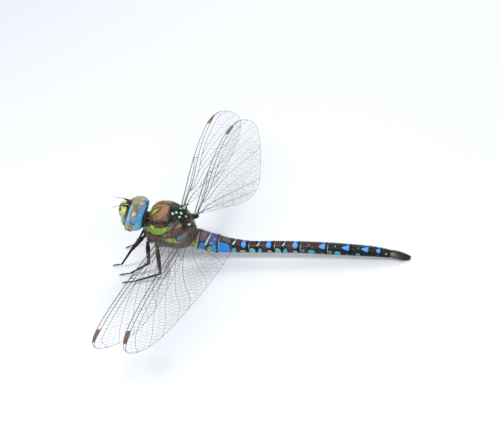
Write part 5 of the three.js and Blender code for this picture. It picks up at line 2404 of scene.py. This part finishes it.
@dataclass
class Studio:
    """The floor, the lamps, the world and the camera. Each lamp has a place, a size and a power."""

    eye: Triple = (0.058931, -0.162409, 0.121622)
    forward: Triple = (-0.28684, 0.78809, -0.54464)
    right: Triple = (0.9397, 0.3420, 0.0)
    roll: float = math.radians(11.5)
    lens: float = 74.54
    sensor: float = 36.0
    nearest: float = 0.005
    floor_half: float = 0.9
    sky: Colour = (226, 230, 236)
    sky_strength: float = 0.62
    lit_point: Triple = (0.0, 0.0, 0.008)
    lamps: tuple[tuple[str, Triple, float, float], ...] = (
        ("key", (-0.10, -0.16, 0.34), 0.16, 0.85),
        ("fill", (0.24, -0.20, 0.20), 0.2, 0.3),
        ("back", (0.02, 0.28, 0.26), 0.18, 0.4),
    )

    def build(self, effects: Effects) -> None:
        """Sets up the floor, the lamps, the world and the camera.

        Args:
            effects: The shared effects.
        """
        scene, half = bpy.context.scene, self.floor_half
        scene.view_settings.view_transform = "Standard"
        mesh = bpy.data.meshes.new("floor")
        square = [(-half, -half, 0), (half, -half, 0), (half, half, 0), (-half, half, 0)]
        mesh.from_pydata(square, [], [(0, 1, 2, 3)])
        mesh.materials.append(StudioFinish().material(effects))
        linked("floor", mesh)
        for name, place, size, power in self.lamps:
            lamp = bpy.data.lights.new(name, "AREA")
            lamp.shape, lamp.size, lamp.energy = "DISK", size, power
            turn = (Vector(self.lit_point) - Vector(place)).to_track_quat("-Z", "Y")
            linked(name, lamp).matrix_world = Matrix.Translation(place) @ turn.to_matrix().to_4x4()
        world = scene.world = bpy.data.worlds.new("studio")
        world.use_nodes = True
        g, nodes = Graph(world.node_tree), world.node_tree.nodes
        g.wire(nodes["Background"], {"Color": paint(self.sky), "Strength": self.sky_strength})
        white = g.node("ShaderNodeBackground", {"Color": paint((255, 255, 255)), "Strength": 1.0})
        mixed = g.node("ShaderNodeMixShader", {0: seen_rays(g), 1: nodes["Background"].outputs[0], 2: white})
        g.wire(nodes["World Output"], {"Surface": mixed})
        right, forward = Vector(self.right), Vector(self.forward).normalized()
        up, cos, sin = right.cross(forward), math.cos(self.roll), math.sin(self.roll)
        camera = bpy.data.cameras.new("camera")
        camera.lens, camera.sensor_width, camera.clip_start = self.lens, self.sensor, self.nearest
        axes = Matrix((right * cos - up * sin, right * sin + up * cos, -forward)).transposed().to_4x4()
        scene.camera = linked("camera", camera)
        scene.camera.matrix_world = Matrix.Translation(self.eye) @ axes


def corners(box: object) -> list[list[float]]:
    """A box's two corners as plain numbers."""
    return [[float(value) for value in corner] for corner in box]


def main() -> None:
    """Builds the whole dragonfly and its studio."""
    logging.basicConfig(level=logging.INFO, format="%(name)s %(message)s")
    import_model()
    shop, head = Shop.opened(), Head()
    Studio().build(shop.effects)
    tail = Abdomen().build(shop)
    Claspers().build(shop)
    trunk = Thorax().build(shop)
    Neck().build(shop)
    shell = head.build(shop)
    Legs().build(shop)
    Wings().build(shop)
    Coats().build(shop, trunk, tail, head, shell)
    LOG.info("all pieces built")


if __name__ == "__main__":
    main()
